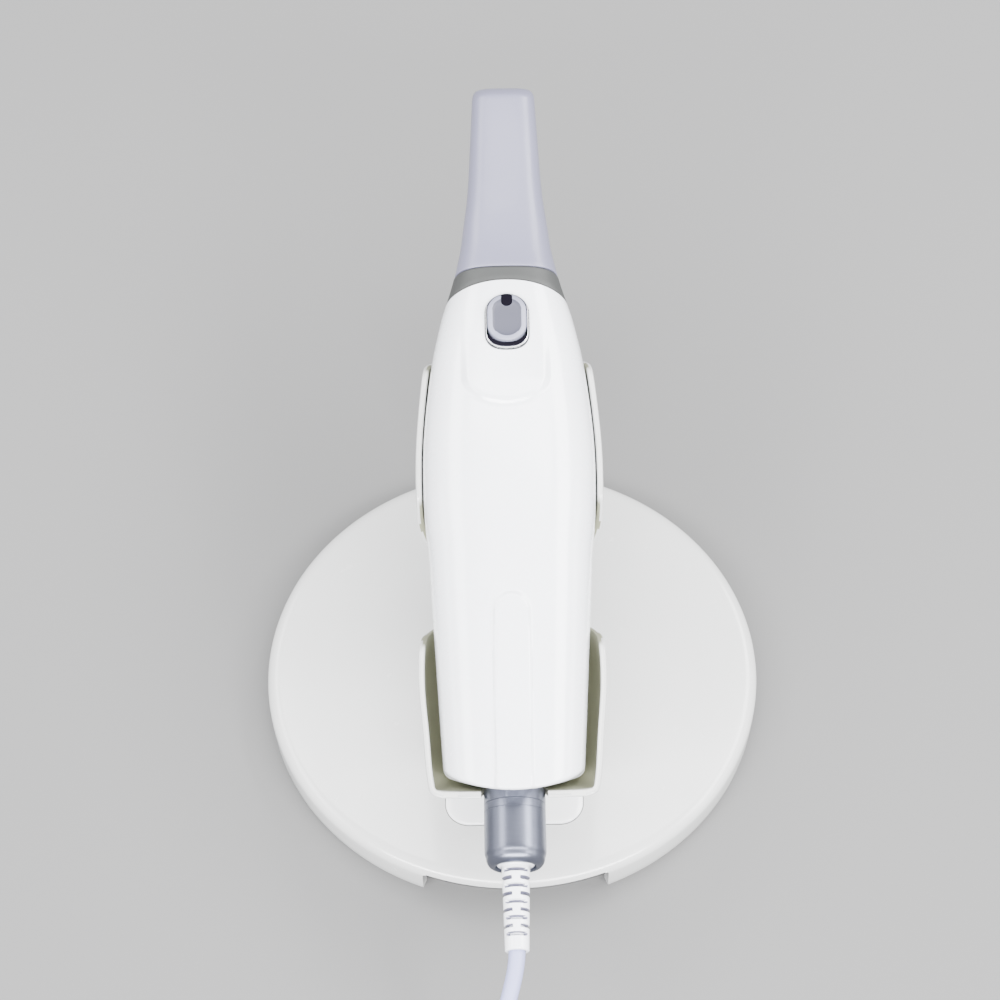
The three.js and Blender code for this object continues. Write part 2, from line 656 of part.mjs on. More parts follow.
// ---- Connector ----
const socket = turned([[SOCKET_BORE, BARREL_RING], [BARREL_RADIUS, BARREL_RING],
  [BARREL_RADIUS, SOCKET_FACE], [SOCKET_RADIUS, SOCKET_FACE + 0.2], [SOCKET_RADIUS, SOCKET_DEPTH],
  [SOCKET_BORE, SOCKET_DEPTH]], 24, true);
add(scanner, 'cable_socket', socket, satinMetal);

const sleeveFront = BARREL_RING - GAP;
const coupling = turned([[COUPLING_BORE, sleeveFront], [COUPLING_BORE, BARREL_END + 1.9],
  [COUPLING_BORE - 1, BARREL_END + 1.3], [COUPLING_BORE - 1, BARREL_END], [BARREL_RADIUS - 1, BARREL_END],
  [BARREL_RADIUS, BARREL_END + 1.2], [BARREL_RADIUS, sleeveFront]], 24, true);
add(scanner, 'coupling_sleeve', coupling, satinMetal);
add(scanner, 'plug_core', axle(PLUG_CORE_RADIUS, -18, 12), satinMetal);

const boot = turned([[0, -18.4], [5.1, -18.4], [5.1, -20.4], [3.9, -21], [3.7, -23], [3.5, -36],
  [3.1, BOOT_END], [0, BOOT_END]], 14);
add(scanner, 'strain_relief', boot, whitePlastic);

// ---- Cable ----
const cableRadius = CABLE_DIAMETER / 2;

/** A round tube along points, with a step every two and a half diameters. */
function tube(points, name) {
  const path = new THREE.CatmullRomCurve3(points.map((p) => new THREE.Vector3(...p)));
  const steps = Math.round(path.getLength() / (2.5 * CABLE_DIAMETER));
  const ring = Array.from({ length: CABLE_SIDES }, (_, i) => {
    const angle = (2 * Math.PI * i) / CABLE_SIDES;
    return new THREE.Vector2(cableRadius * Math.cos(angle), cableRadius * Math.sin(angle));
  });
  const options = { steps, bevelEnabled: false, extrudePath: path };
  add(cord, name, solidOf(new THREE.ExtrudeGeometry(new THREE.Shape(ring), options)), cablePlastic);
}
tube(ROUTE, 'cable');

const [coilX, coilY] = COIL_CENTRE;
const coilHalf = (COIL_ACROSS * CABLE_DIAMETER) / 2 + 0.2;
const coilInner = COIL_MIDDLE_RADIUS - coilHalf;
const coilOuter = COIL_MIDDLE_RADIUS + coilHalf;
const coilTop = COIL_BOTTOM + COIL_LAYERS * CABLE_DIAMETER;
const coil = turnedUp([[coilInner, COIL_BOTTOM + 1.5], [coilInner + 1.5, COIL_BOTTOM],
  [coilOuter - 1.5, COIL_BOTTOM], [coilOuter, COIL_BOTTOM + 1.5], [coilOuter, coilTop - 1.5],
  [coilOuter - 1.5, coilTop], [coilInner + 1.5, coilTop], [coilInner, coilTop - 1.5]],
32, coilX, coilY, true);
add(cord, 'cable_coil', coil, cablePlastic);

/** A strap round the bundle, on the side of the coil that faces the stand. */
function makeTie() {
  const half = TIE_WIDTH / 2;
  const near = Math.sqrt(coilInner ** 2 - half ** 2) - GAP;
  const far = coilOuter + GAP;
  const low = COIL_BOTTOM - GAP;
  const high = coilTop + GAP;
  const middle = (near + far) / 2;
  const level = (low + high) / 2;
  const t = 2 * TIE_THICKNESS;
  const strap = box(TIE_WIDTH, far - near + t, high - low + t, 0, middle, level);
  const hole = box(TIE_WIDTH + 2, far - near, high - low, 0, middle, level);
  return solidOf(geometryOf(strap.subtract(hole)).translate(coilX, coilY, 0));
}
add(cord, 'coil_tie', makeTie(), rubber);

// The cable's end climbs over the coil and runs into the plug, which lies on the coil
const plugZ = coilTop + GAP + PLUG_BODY.height / 2;
const plugX = coilX + COIL_MIDDLE_RADIUS;
const plugBack = coilY - 2;
const end = evenly(-78, -14, 6).map((degrees, i) => {
  const angle = radians(degrees);
  const z = coilTop + GAP + cableRadius + ((plugZ - coilTop - GAP - cableRadius) * i) / 6;
  const x = coilX + COIL_MIDDLE_RADIUS * Math.cos(angle);
  return [x, coilY + COIL_MIDDLE_RADIUS * Math.sin(angle), z];
});
tube([...end, [plugX, plugBack - 2 * GAP, plugZ]], 'cable_end');

function lyingBlock({ width, height, length }, corner, y) {
  const block = geometryOf(beam(roundedRectangle(width, height, corner), y, y + length));
  return solidOf(block.translate(plugX, 0, plugZ));
}
add(cord, 'usb_plug_body', lyingBlock(PLUG_BODY, 2.2, plugBack), whitePlastic);
const shellY = plugBack + PLUG_BODY.length + GAP;
add(cord, 'usb_plug_shell', lyingBlock(PLUG_SHELL, 1.2, shellY), steel);

// ---- Origin ----
const offCord = new THREE.Box3();
device.updateMatrixWorld(true);
for (const group of [stand, scanner]) {
  group.traverse((piece) => {
    if (piece.isMesh && piece.name !== 'strain_relief') {
      offCord.expandByObject(piece, true);
    }
  });
}
device.position.y = -offCord.getCenter(new THREE.Vector3()).y;

export default device;
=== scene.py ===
"""An intraoral scanner lying in the cradle of its round desk stand, with its cable coiled on the table."""
import math

import bmesh
import bpy
import numpy as np
from mathutils import Matrix, Vector


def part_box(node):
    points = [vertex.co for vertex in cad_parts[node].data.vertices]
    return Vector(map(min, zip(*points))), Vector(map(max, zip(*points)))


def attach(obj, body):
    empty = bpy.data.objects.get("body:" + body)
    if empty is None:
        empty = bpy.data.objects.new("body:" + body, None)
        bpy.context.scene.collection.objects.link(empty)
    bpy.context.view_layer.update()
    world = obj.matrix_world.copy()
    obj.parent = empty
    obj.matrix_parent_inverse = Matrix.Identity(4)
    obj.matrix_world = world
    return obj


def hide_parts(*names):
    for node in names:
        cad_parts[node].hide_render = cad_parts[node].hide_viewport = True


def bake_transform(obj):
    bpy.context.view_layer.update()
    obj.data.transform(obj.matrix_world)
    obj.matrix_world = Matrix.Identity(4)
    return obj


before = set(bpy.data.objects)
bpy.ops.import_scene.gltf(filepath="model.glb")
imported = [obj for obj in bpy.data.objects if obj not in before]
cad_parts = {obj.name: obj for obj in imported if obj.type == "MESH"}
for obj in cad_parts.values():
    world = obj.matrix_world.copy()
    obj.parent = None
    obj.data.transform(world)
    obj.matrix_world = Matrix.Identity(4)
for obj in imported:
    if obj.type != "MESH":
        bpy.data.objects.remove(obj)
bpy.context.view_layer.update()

# ---- Sizes: lengths are in mm unless a comment says metres ----
MM = 0.001  # metres
BASE_RADIUS = 69
BASE_TOP = 13.6
RIM_TOP = 11.9
RIM_ROUND = 4
SKIRT_BOTTOM = 1.2
NOTCH_HALF_WIDTH = 25.3
NOTCH_TOP = 9.9
PLATE_RADIUS = 62.5
PLATE_BOTTOM = 2.5
PLATE_TOP = 6.1
FOOT_RADIUS = 6.8
FOOT_CIRCLE = 57.5
FOOT_TURN = 16  # degrees
BASE_SCREW_CIRCLE = 44
PEDESTAL_HALF_WIDTH = 13
PEDESTAL_HALF_LENGTH = 26
PEDESTAL_Y = 4
BADGE_HALF_WIDTH = 18.8
BADGE_HALF_LENGTH = 10
BADGE_CORNER = 6.5
BADGE_Y = -40.8
AXIS_Y = -54.2
AXIS_Z = 38
TILT = math.radians(12)
HANDLE_LENGTH = 144.6
HANDLE_POWER = 2.5
HANDLE_START = -0.4
HANDLE_WALL = 1.2
END_DOME = 42.4
NOSE_DOME = 44.9
OVERHANG = 0.33
SEAM = -2
SEAM_GAP = 0.12
PAD_CENTRE = (-0.5, 114)
PAD_HALF_WIDTH = 12.4
PAD_REACH = 9.6
PAD_HEIGHT = 1.15
RIB_HALF_WIDTH = 5.4
RIB_END = 44.5
RIB_REACH = 6.2
RIB_HEIGHT = 0.75
COLLAR_END = 149.4
SLEEVE_END = 212
SLEEVE_POWER = 3.2
WINDOW_S = 197.5
HANDLE_SIDE = [(-6, 18.3), (2, 18.65), (9, 19.1), (25, 20.05), (45, 21.2), (57, 21.9), (68, 22.5), (75, 23.3),
               (84, 23.8), (100, 23.7), (114, 22.5), (126, 20.9), (132.5, 19.6), (139, 18.1),
               (145, 16.2), (151, 14.6), (156, 13.6)]
HANDLE_TOP = [(-6, 13.1), (0, 13.6), (8, 14), (45, 15.6), (85, 17.6), (110, 17.3), (126, 16.3), (139, 14.3),
              (151, 11.9), (156, 10.9)]
HANDLE_BOTTOM = [(-6, 12.4), (8, 13.2), (45, 14.6), (85, 16.8), (110, 16), (126, 14.2), (139, 12.6),
                 (151, 11.2), (156, 10.9)]
SLEEVE_SIDE = [(149, 14.9), (154.5, 13.8), (158.7, 12.95), (166, 12.1), (174, 11.05), (182, 10.4),
               (190, 10), (205, 9.25), (212, 8.95)]
SLEEVE_TOP = [(149, 12.1), (158, 10.3), (166, 9.3), (180, 8.3), (200, 7.5), (212, 6.9)]
SLEEVE_BOTTOM = [(149, 11.3), (166, 9.3), (180, 8.3), (200, 7.7), (212, 7.4)]
CRADLE_SIDE = [(-3, 22.2), (0, 22.8), (16, 24.3), (30, 25.4), (38, 25.3), (46, 24.7), (57, 24.6),
               (68, 25), (78, 25.6), (88, 25.9), (98, 25.8), (110, 25), (120, 24), (129, 22.9)]
CRADLE_BOTTOM = [(-3, 14.8), (8, 15.4), (45, 16.8), (85, 19), (110, 18.2), (129, 15.9)]
CRADLE_FROM = -2.9
CRADLE_TO = 129
CRADLE_WALL = 1.7
RIM_HEIGHT = 3
RIM_DIP = -13
RIM_STATIONS = (38, 54, 69, 85, 120, 135)
COLUMN_INTO_TROUGH = 0.4
BARREL_RADIUS = 8.2
BUTTON_S = 130.3
BUTTON_W = 15.75
BUTTON_SLOPE = math.radians(7.5)
BEZEL_HALF_WIDTH = 6.05
BEZEL_HALF_LENGTH = 9.15
BEZEL_POWER = 2.5  # of the button opening's cable end
BEZEL_LIP = 1.2
CAP_HALF_WIDTH = 5.45
CAP_HALF_LENGTH = 7.6
BOOT_END = -44
CABLE_DIAMETER = 4.4
COIL_CENTRE = (8, -176)
COIL_RADIUS = 31.1
COIL_LEVEL = 3.3
COIL_TURNS = 11.461
PLUG_X = COIL_CENTRE[0] + 24.5
PLUG_BACK = COIL_CENTRE[1] - 2
PLUG_Z = 17.8
ROUTE = [(0, -97.83, 28.73), (-0.5, -102, 27.9), (-1.6, -106.5, 26.8), (-2.9, -111, 25.3),
         (-4.6, -116, 23), (-6.8, -121.5, 19.8), (-9.3, -127, 16), (-12, -132.5, 12.2),
         (-14.7, -138, 8.9), (-17.3, -143.5, 6.3), (-19.9, -149.5, 4.5), (-21.9, -155.4, 3.7)]
INTO_BOOT = (0, 1.96, 0.42)
CAMERA_PLACE = (-2.68, -468.2, 774.2)
CAMERA_TARGET = (-2.68, 65.6, 0)
CAMERA_ROLL = math.radians(-0.877)
CAMERA_LENS = 114
SENSOR_WIDTH = 36
FLOOR_HALF = 4.0  # metres
FLOOR_LEVEL = -0.0002  # metres

# ---- Frames: each takes its own points to their place in the model ----
disc_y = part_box("base_cover")[1].y - BASE_RADIUS * MM
DISC = Matrix.Translation((0, disc_y, 0))
SCANNER = Matrix.Translation((0, disc_y + AXIS_Y * MM, AXIS_Z * MM)) @ Matrix.Rotation(TILT, 4, "X")
BUTTON = (SCANNER @ Matrix.Translation((0, BUTTON_S * MM, BUTTON_W * MM))
          @ Matrix.Rotation(-BUTTON_SLOPE, 4, "X"))


# ---- Curves and outlines ----
def curve_of(pairs, blur=2.0):
    """A soft curve through (station, value) pairs, straight beyond its ends."""
    xs, ys = np.array(pairs, float).T
    slopes = np.gradient(ys, xs)
    reach = 8 * blur
    grid = np.arange(xs[0] - reach, xs[-1] + reach, 0.2)
    inside = np.clip(grid, xs[0], xs[-1])
    i = np.clip(np.searchsorted(xs, inside) - 1, 0, len(xs) - 2)
    step = xs[i + 1] - xs[i]
    t = (inside - xs[i]) / step
    values = (ys[i] * (2 * t ** 3 - 3 * t ** 2 + 1) + ys[i + 1] * (3 * t ** 2 - 2 * t ** 3)
              + step * slopes[i] * (t ** 3 - 2 * t ** 2 + t) + step * slopes[i + 1] * (t ** 3 - t ** 2))
    values += np.minimum(grid - xs[0], 0) * slopes[0] + np.maximum(grid - xs[-1], 0) * slopes[-1]
    kernel = np.exp(-0.5 * (np.arange(-4 * blur, 4 * blur + 0.1, 0.2) / blur) ** 2)
    soft = np.convolve(values, kernel / kernel.sum(), mode="same")
    return lambda s: np.interp(s, grid, soft)


def smooth(x, low=0.0, high=1.0):
    """0 below low, 1 above high, and a soft step between."""
    t = np.clip((x - low) / (high - low), 0, 1)
    return t * t * (3 - 2 * t)


def power(x, exponent):
    return np.sign(x) * np.abs(x) ** exponent


def oval(angles, side, top, bottom, shape):
    """Superellipse points (u, w) at angles."""
    height = np.where(np.sin(angles) > 0, top, bottom)
    return side * power(np.cos(angles), 2 / shape), height * power(np.sin(angles), 2 / shape)


def ring_angles(count):
    return np.arange(count) * 2 * math.pi / count


def rounded_ring(half_x, half_y, radius, per_corner=8):
    """A rounded rectangle's outline, anticlockwise, as an array of points."""
    points = []
    for corner, (sx, sy) in enumerate([(1, 1), (-1, 1), (-1, -1), (1, -1)]):
        for k in range(per_corner + 1):
            angle = (corner + k / per_corner) * math.pi / 2
            points.append((sx * (half_x - radius) + radius * math.cos(angle),
                           sy * (half_y - radius) + radius * math.sin(angle)))
    return np.array(points)


# ---- Meshes ----
def skin(rings, loop=False, closed=True):
    """Faces between rings of equally many points. `closed` joins each ring's ends, `loop` the rings' own."""
    count = len(rings[0])
    points = np.concatenate([np.asarray(ring, float) for ring in rings])
    faces = []
    for r in range(len(rings) if loop else len(rings) - 1):
        here, there = r * count, ((r + 1) % len(rings)) * count
        for k in range(count if closed else count - 1):
            n = (k + 1) % count
            faces.append((here + k, here + n, there + n, there + k))
    return points, faces


def shell(rings):
    """A closed solid of rings, with its first and last ring filled from their middles."""
    first, last = np.mean(rings[0], axis=0), np.mean(rings[-1], axis=0)
    count = len(rings[0])
    return skin([np.tile(first, (count, 1)), *rings, np.tile(last, (count, 1))])


def turned(profile, sides, along_y=False):
    """Rings of (radius, height) points turned about Z, or about Y. A radius may differ round its ring."""
    angles = ring_angles(sides)
    rings = []
    for radius, height in profile:
        x, y = radius * np.cos(angles), radius * np.sin(angles)
        level = np.full(sides, float(height))
        rings.append(np.stack([x, level, y] if along_y else [x, y, level], axis=1))
    return rings


def level_ring(outline, z):
    """An outline in the XY plane, at one height or at a height for each point."""
    return np.column_stack([outline, np.broadcast_to(z, len(outline))])


def section(u, s, w):
    """Points across the scanner, at one station or at a station for each point."""
    return np.column_stack([u, np.broadcast_to(s, len(u)), w])


def moved(part, x, y):
    """A (points, faces) moved across."""
    points, faces = part
    return points + np.array([x, y, 0]), faces


def joined(*parts):
    """Several (points, faces) as one."""
    points, faces = [], []
    for some, theirs in parts:
        start = sum(len(p) for p in points)
        points.append(some)
        faces += [tuple(start + i for i in face) for face in theirs]
    return np.concatenate(points), faces


def tidy(mesh, corner):
    """Merges doubled points, turns faces outwards, and shades smoothly up to a corner's angle."""
    work = bmesh.new()
    work.from_mesh(mesh)
    bmesh.ops.remove_doubles(work, verts=work.verts, dist=2e-7)
    bmesh.ops.dissolve_degenerate(work, edges=work.edges, dist=1e-7)
    bmesh.ops.recalc_face_normals(work, faces=work.faces)
    work.to_mesh(mesh)
    work.free()
    mesh.shade_smooth()
    mesh.set_sharp_from_angle(angle=math.radians(corner))


def made(name, part, place, corner=35):
    """An object from (points, faces) in the mm of a frame."""
    points, faces = part
    mesh = bpy.data.meshes.new(name)
    mesh.from_pydata((points * MM).tolist(), [], faces)
    mesh.transform(place)
    tidy(mesh, corner)
    thing = bpy.data.objects.new(name, mesh)
    bpy.context.scene.collection.objects.link(thing)
    return thing


def apply_modifiers(thing, corner=35):
    graph = bpy.context.evaluated_depsgraph_get()
    mesh = bpy.data.meshes.new_from_object(thing.evaluated_get(graph))
    thing.modifiers.clear()
    thing.data = mesh
    tidy(mesh, corner)


def thicken(thing, wall, levels=0):
    """Gives an open sheet a wall behind its face, then rounds it by subdivision."""
    solid = thing.modifiers.new("wall", "SOLIDIFY")
    solid.thickness = wall * MM
    solid.offset = -1
    solid.use_even_offset = False
    if levels:
        thing.modifiers.new("round", "SUBSURF").levels = levels
    apply_modifiers(thing)


def cut(thing, part, place, corner=35):
    """Cuts a (points, faces) solid out of an object."""
    tool = made("cutter", part, place)
    modifier = thing.modifiers.new("cut", "BOOLEAN")
    modifier.object = tool
    modifier.operation = "DIFFERENCE"
    modifier.solver = "EXACT"
    apply_modifiers(thing, corner)
    bpy.data.objects.remove(tool)


def merge(thing, other):
    """Adds another object's mesh to an object in the same frame."""
    work = bmesh.new()
    work.from_mesh(thing.data)
    work.from_mesh(other.data)
    work.to_mesh(thing.data)
    work.free()
    bpy.data.objects.remove(other)


def finish_piece(thing, body, slot, *nodes):
    """Gives a piece the material that its slot names and its body, and hides the CAD nodes that it stands
    for.
    """
    thing.data.materials.clear()
    thing.data.materials.append(surfaces[slot])
    if body:
        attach(thing, body)
    if nodes:
        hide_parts(*nodes)
    return thing


def piece(name, part, place, corner, *rest):
    """Makes and finishes a piece that nothing is cut from."""
    return finish_piece(made(name, part, place, corner), *rest)


def paint(thing, place, surface, test):
    """Gives a second material to the faces whose middle and normal, in a frame's mm, pass a test."""
    thing.data.materials.append(surfaces[surface])
    back = place.inverted()
    for poly in thing.data.polygons:
        poly.material_index = int(test(back @ poly.center / MM, back.to_3x3() @ poly.normal))


# ---- Materials ----
surfaces = {}  # every material by its name


class Surface:
    """A material round one Principled shader, with the textures that drive it."""

    def __init__(self, name, **sockets):
        self.material = bpy.data.materials.new(name)
        surfaces[name] = self.material
        self.material.use_nodes = True
        self.tree = self.material.node_tree
        self.shader = self.tree.nodes["Principled BSDF"]
        for socket, value in sockets.items():
            self.shader.inputs[socket.replace("_", " ")].default_value = value
        place = self.tree.nodes.new("ShaderNodeTexCoord").outputs["Object"]
        self.place = self.node("ShaderNodeMapping", Vector=place, Rotation=(-TILT, 0, 0)).outputs[0]

    def link(self, source, target):
        self.tree.links.new(source, target)

    def node(self, kind, **inputs):
        made_node = self.tree.nodes.new(kind)
        for name, value in inputs.items():
            socket = made_node.inputs[name.replace("_", " ")]
            if isinstance(value, bpy.types.NodeSocket):
                self.link(value, socket)
            else:
                socket.default_value = value
        return made_node

    def noise(self, scale, detail=2.0, stretch=(1, 1, 1), roughness=0.5):
        scaled = self.node("ShaderNodeMapping", Vector=self.place, Scale=stretch).outputs[0]
        return self.node("ShaderNodeTexNoise", Vector=scaled, Scale=scale, Detail=detail,
                         Roughness=roughness).outputs["Fac"]

    def cells(self, scale, stretch=(1, 1, 1), feature="F1"):
        scaled = self.node("ShaderNodeMapping", Vector=self.place, Scale=stretch).outputs[0]
        cells = self.tree.nodes.new("ShaderNodeTexVoronoi")
        cells.feature = feature
        self.link(scaled, cells.inputs["Vector"])
        cells.inputs["Scale"].default_value = scale
        return cells.outputs["Distance"]

    def spread(self, value, low=0, high=1, start=0.3, end=0.7):
        return self.node("ShaderNodeMapRange", Value=value, From_Min=start, From_Max=end,
                         To_Min=low, To_Max=high).outputs["Result"]

    def mix(self, factor, first, second):
        mixer = self.tree.nodes.new("ShaderNodeMix")
        mixer.data_type = "RGBA"
        self.link(factor, mixer.inputs[0])
        for socket, colour in ((mixer.inputs[6], first), (mixer.inputs[7], second)):
            if isinstance(colour, bpy.types.NodeSocket):
                self.link(colour, socket)
            else:
                socket.default_value = (*colour, 1)
        return mixer.outputs[2]

    def colour(self, factor, first, second):
        self.link(self.mix(factor, first, second), self.shader.inputs["Base Color"])

    def roughness(self, factor, low, high):
        self.link(self.spread(factor, low, high), self.shader.inputs["Roughness"])

    def bump(self, height, depth, strength):
        bump = self.node("ShaderNodeBump", Height=height, Distance=depth * MM, Strength=strength)
        self.link(bump.outputs["Normal"], self.shader.inputs["Normal"])


def shade(colour, factor):
    return tuple(min(1.0, c * factor) for c in colour)


def plastic(name, colour, low, high, grain=1800, depth=0.006, vary=0.015, **sockets):
    """Moulded plastic: a fine spark-eroded grain, and slow changes of tone and gloss."""
    surface = Surface(name, **sockets)
    tone = surface.spread(surface.noise(40, 3))
    surface.colour(tone, shade(colour, 1 - vary), shade(colour, 1 + vary))
    surface.roughness(surface.noise(120, 4, roughness=0.65), low, high)
    surface.bump(surface.noise(grain, 2), depth, 0.5)


def metal(name, colour, low, high, stretch, grain=900, depth=0.004, **sockets):
    """Metal with a lay of fine tool marks along one direction."""
    surface = Surface(name, Metallic=1.0, **sockets)
    lay = surface.noise(grain, 3, stretch)
    surface.colour(surface.spread(lay), shade(colour, 0.94), shade(colour, 1.05))
    surface.roughness(surface.noise(grain * 0.5, 2, stretch), low, high)
    surface.bump(lay, depth, 0.4)


def trough_shade_plastic(name, colour, shade_colour):
    """Stand plastic with painted shade on the trough's inside: darker and more olive deeper than its rim."""
    surface = Surface(name)
    height = surface.node("ShaderNodeSeparateXYZ", Vector=surface.place).outputs["Z"]
    axis = AXIS_Z * MM * math.cos(TILT) - (disc_y + AXIS_Y * MM) * math.sin(TILT)
    # painted shade: full deep in the trough, none towards its rim
    fall = surface.spread(height, 1, 0, axis + 0.8 * MM, axis + 2.3 * MM)
    grain = surface.spread(surface.noise(40, 3))
    plain = surface.mix(grain, shade(colour, 0.985), shade(colour, 1.015))
    surface.colour(fall, plain, shade_colour)
    surface.roughness(surface.noise(120, 4, roughness=0.65), 0.5, 0.6)
    surface.bump(surface.noise(1800, 2), 0.006, 0.5)


def board(name):
    """A circuit board: solder mask over faint tracks, with gold pads."""
    surface = Surface(name, Roughness=0.4, Coat_Weight=0.3)
    tracks = surface.spread(surface.cells(450, (1, 1, 0.01), "DISTANCE_TO_EDGE"), 0, 1, 0.02, 0.06)
    pads = surface.spread(surface.cells(700, (1, 0.5, 0.01)), 1, 0, 0.1, 0.16)
    mask = surface.mix(tracks, (0.03, 0.2, 0.09), (0.012, 0.1, 0.045))
    surface.colour(pads, mask, (0.7, 0.52, 0.2))
    surface.link(pads, surface.shader.inputs["Metallic"])
    surface.bump(tracks, 0.02, 0.4)


def rubber(name, colour):
    surface = Surface(name, Roughness=0.8)
    surface.colour(surface.spread(surface.noise(300, 4)), shade(colour, 0.8), shade(colour, 1.25))
    surface.roughness(surface.noise(90, 3), 0.65, 0.9)
    surface.bump(surface.noise(2500, 3), 0.02, 0.7)


def glass(name, colour):
    """Coated glass with a trace of smear."""
    surface = Surface(name, Transmission_Weight=0.95, IOR=1.5, Coat_Weight=0.4)
    surface.colour(surface.spread(surface.noise(60, 2)), shade(colour, 0.96), colour)
    surface.roughness(surface.noise(200, 4, (1, 0.3, 1)), 0.01, 0.06)


def build_materials():
    long_lay = (1, 0.02, 1)  # marks that run along the scanner's axis
    turned_lay = (0.05, 1.6, 0.05)  # marks that run round the scanner's axis
    no_lay = (1, 1, 1)
    plastic("housing_white", (0.92, 0.94, 0.99), 0.2, 0.32, Coat_Weight=1.0, Coat_Roughness=0.13)
    plastic("stand_white", (0.56, 0.563, 0.56), 0.16, 0.28, Coat_Weight=0.3, Coat_Roughness=0.1)
    # the trough's inside gets painted shade, darker with depth
    trough_shade_plastic("trough_painted_shade", (0.64, 0.64, 0.62), (0.205, 0.207, 0.14))
    # also the badge's painted contact shadow
    plastic("collar_grey", (0.038, 0.0398, 0.0392), 0.5, 0.62, 1400, 0.012, 0.04)
    # also the painted shade in the cable boot's slots
    plastic("sleeve_grey", (0.168, 0.167, 0.238), 0.3, 0.42, 2200, 0.008, 0.02, Coat_Weight=0.1)
    metal("connector_metal", (0.15, 0.16, 0.205), 0.32, 0.38, turned_lay, 6000, 0.0002)
    metal("bezel_chrome", (0.85, 0.86, 0.88), 0.04, 0.1, no_lay, 400, 0.001)
    # a dark copy of the bezel's chrome: painted dark reflection on its flanks
    metal("chrome_dark_reflection", (0.14, 0.142, 0.15), 0.1, 0.2, no_lay, 400, 0.001)
    plastic("button_grey", (0.235, 0.24, 0.32), 0.3, 0.4, 2200, 0.006, 0.02)
    plastic("button_face", (0.054, 0.055, 0.08), 0.36, 0.46, 2600, 0.008, 0.03)
    # also the dark ring in the key's gap, which is painted shade
    plastic("window_dark", (0.005, 0.0043, 0.0075), 0.35, 0.45, 600, 0.001, 0.1, Specular_IOR_Level=0.01)
    plastic("cable_sheath", (0.34, 0.36, 0.6), 0.38, 0.5, 1500, 0.01, 0.02)
    rubber("rubber_dark", (0.035, 0.035, 0.037))
    metal("steel", (0.5, 0.51, 0.52), 0.28, 0.42, (1, 0.05, 1), 700, 0.006)
    metal("aluminium", (0.66, 0.67, 0.69), 0.25, 0.4, long_lay, 800, 0.005)
    board("board_green")
    plastic("clear_resin", (0.86, 0.865, 0.88), 0.05, 0.09, 300, 0.002, 0.01,
            Coat_Weight=1.0, Coat_Roughness=0.03)
    glass("optical_glass", (0.85, 0.93, 0.95))
    metal("mirror", (0.92, 0.94, 0.95), 0.01, 0.04, no_lay, 200, 0.0005)


build_materials()


# ---- Camera, light and floor ----
def build_camera():
    data = bpy.data.cameras.new("camera")
    data.lens = CAMERA_LENS
    data.sensor_width = SENSOR_WIDTH
    place = DISC @ (Vector(CAMERA_PLACE) * MM)
    target = DISC @ (Vector(CAMERA_TARGET) * MM)
    camera = bpy.data.objects.new("camera", data)
    turn = (target - place).to_track_quat("-Z", "Y").to_matrix().to_4x4()
    camera.matrix_world = Matrix.Translation(place) @ turn @ Matrix.Rotation(CAMERA_ROLL, 4, "Z")
    bpy.context.scene.collection.objects.link(camera)
    bpy.context.scene.camera = camera


def add_light(name, place, size, watts, target=(0, 0, 0.05)):
    data = bpy.data.lights.new(name, "AREA")
    data.shape = "RECTANGLE"
    data.size, data.size_y = size
    data.energy = watts
    light = bpy.data.objects.new(name, data)
    light.location = place
    light.rotation_euler = (Vector(target) - Vector(place)).to_track_quat("-Z", "Y").to_euler()
    bpy.context.scene.collection.objects.link(light)


def build_studio():
    world = bpy.data.worlds.new("studio")
    world.use_nodes = True
    background = world.node_tree.nodes["Background"]
    background.inputs["Color"].default_value = (0.95, 0.97, 1, 1)
    background.inputs["Strength"].default_value = 0.7
    bpy.context.scene.world = world
    add_light("top_left", (-0.92, 0.3, 0.92), (1.5, 0.42), 21)
    add_light("top_right", (0.92, 0.3, 0.92), (1.5, 0.45), 39)
    add_light("top_back", (0.05, 0.33, 0.98), (1.0, 0.3), 10, (0, 0, 0.02))
    add_light("front", (0.0, -1.0, 0.92), (2.3, 0.28), 103)
    add_light("side_left", (-1.3, -0.1, 0.35), (1.0, 0.3), 3)
    add_light("side_right", (1.3, -0.1, 0.35), (1.0, 0.3), 5)
    corners = [(x * FLOOR_HALF, y * FLOOR_HALF, 0) for x, y in ((-1, -1), (1, -1), (1, 1), (-1, 1))]
    floor_mesh = bpy.data.meshes.new("floor")
    floor_mesh.from_pydata(corners, [], [(0, 1, 2, 3)])
    floor = bpy.data.objects.new("floor", floor_mesh)
    floor.location.z = FLOOR_LEVEL
    surface = Surface("floor", Roughness=0.9, Specular_IOR_Level=0.1)
    surface.colour(surface.spread(surface.noise(4, 2)), (0.171, 0.171, 0.171), (0.175, 0.175, 0.175))
    floor_mesh.materials.append(surface.material)
    bpy.context.scene.collection.objects.link(floor)


build_camera()
build_studio()


# ---- Cable ----
def through(points, step):
    """A Catmull-Rom curve through points, sampled about every `step`."""
    points = [np.array(p, float) for p in points]
    padded = [2 * points[0] - points[1], *points, 2 * points[-1] - points[-2]]
    line = []
    for a, b, c, d in zip(padded, padded[1:], padded[2:], padded[3:]):
        count = max(2, round(np.linalg.norm(c - b) / step))
        for t in np.arange(count) / count:
            line.append(0.5 * (2 * b + (c - a) * t + (2 * a - 5 * b + 4 * c - d) * t ** 2
                               + (3 * b - 3 * c + d - a) * t ** 3))
    return line + [points[-1]]


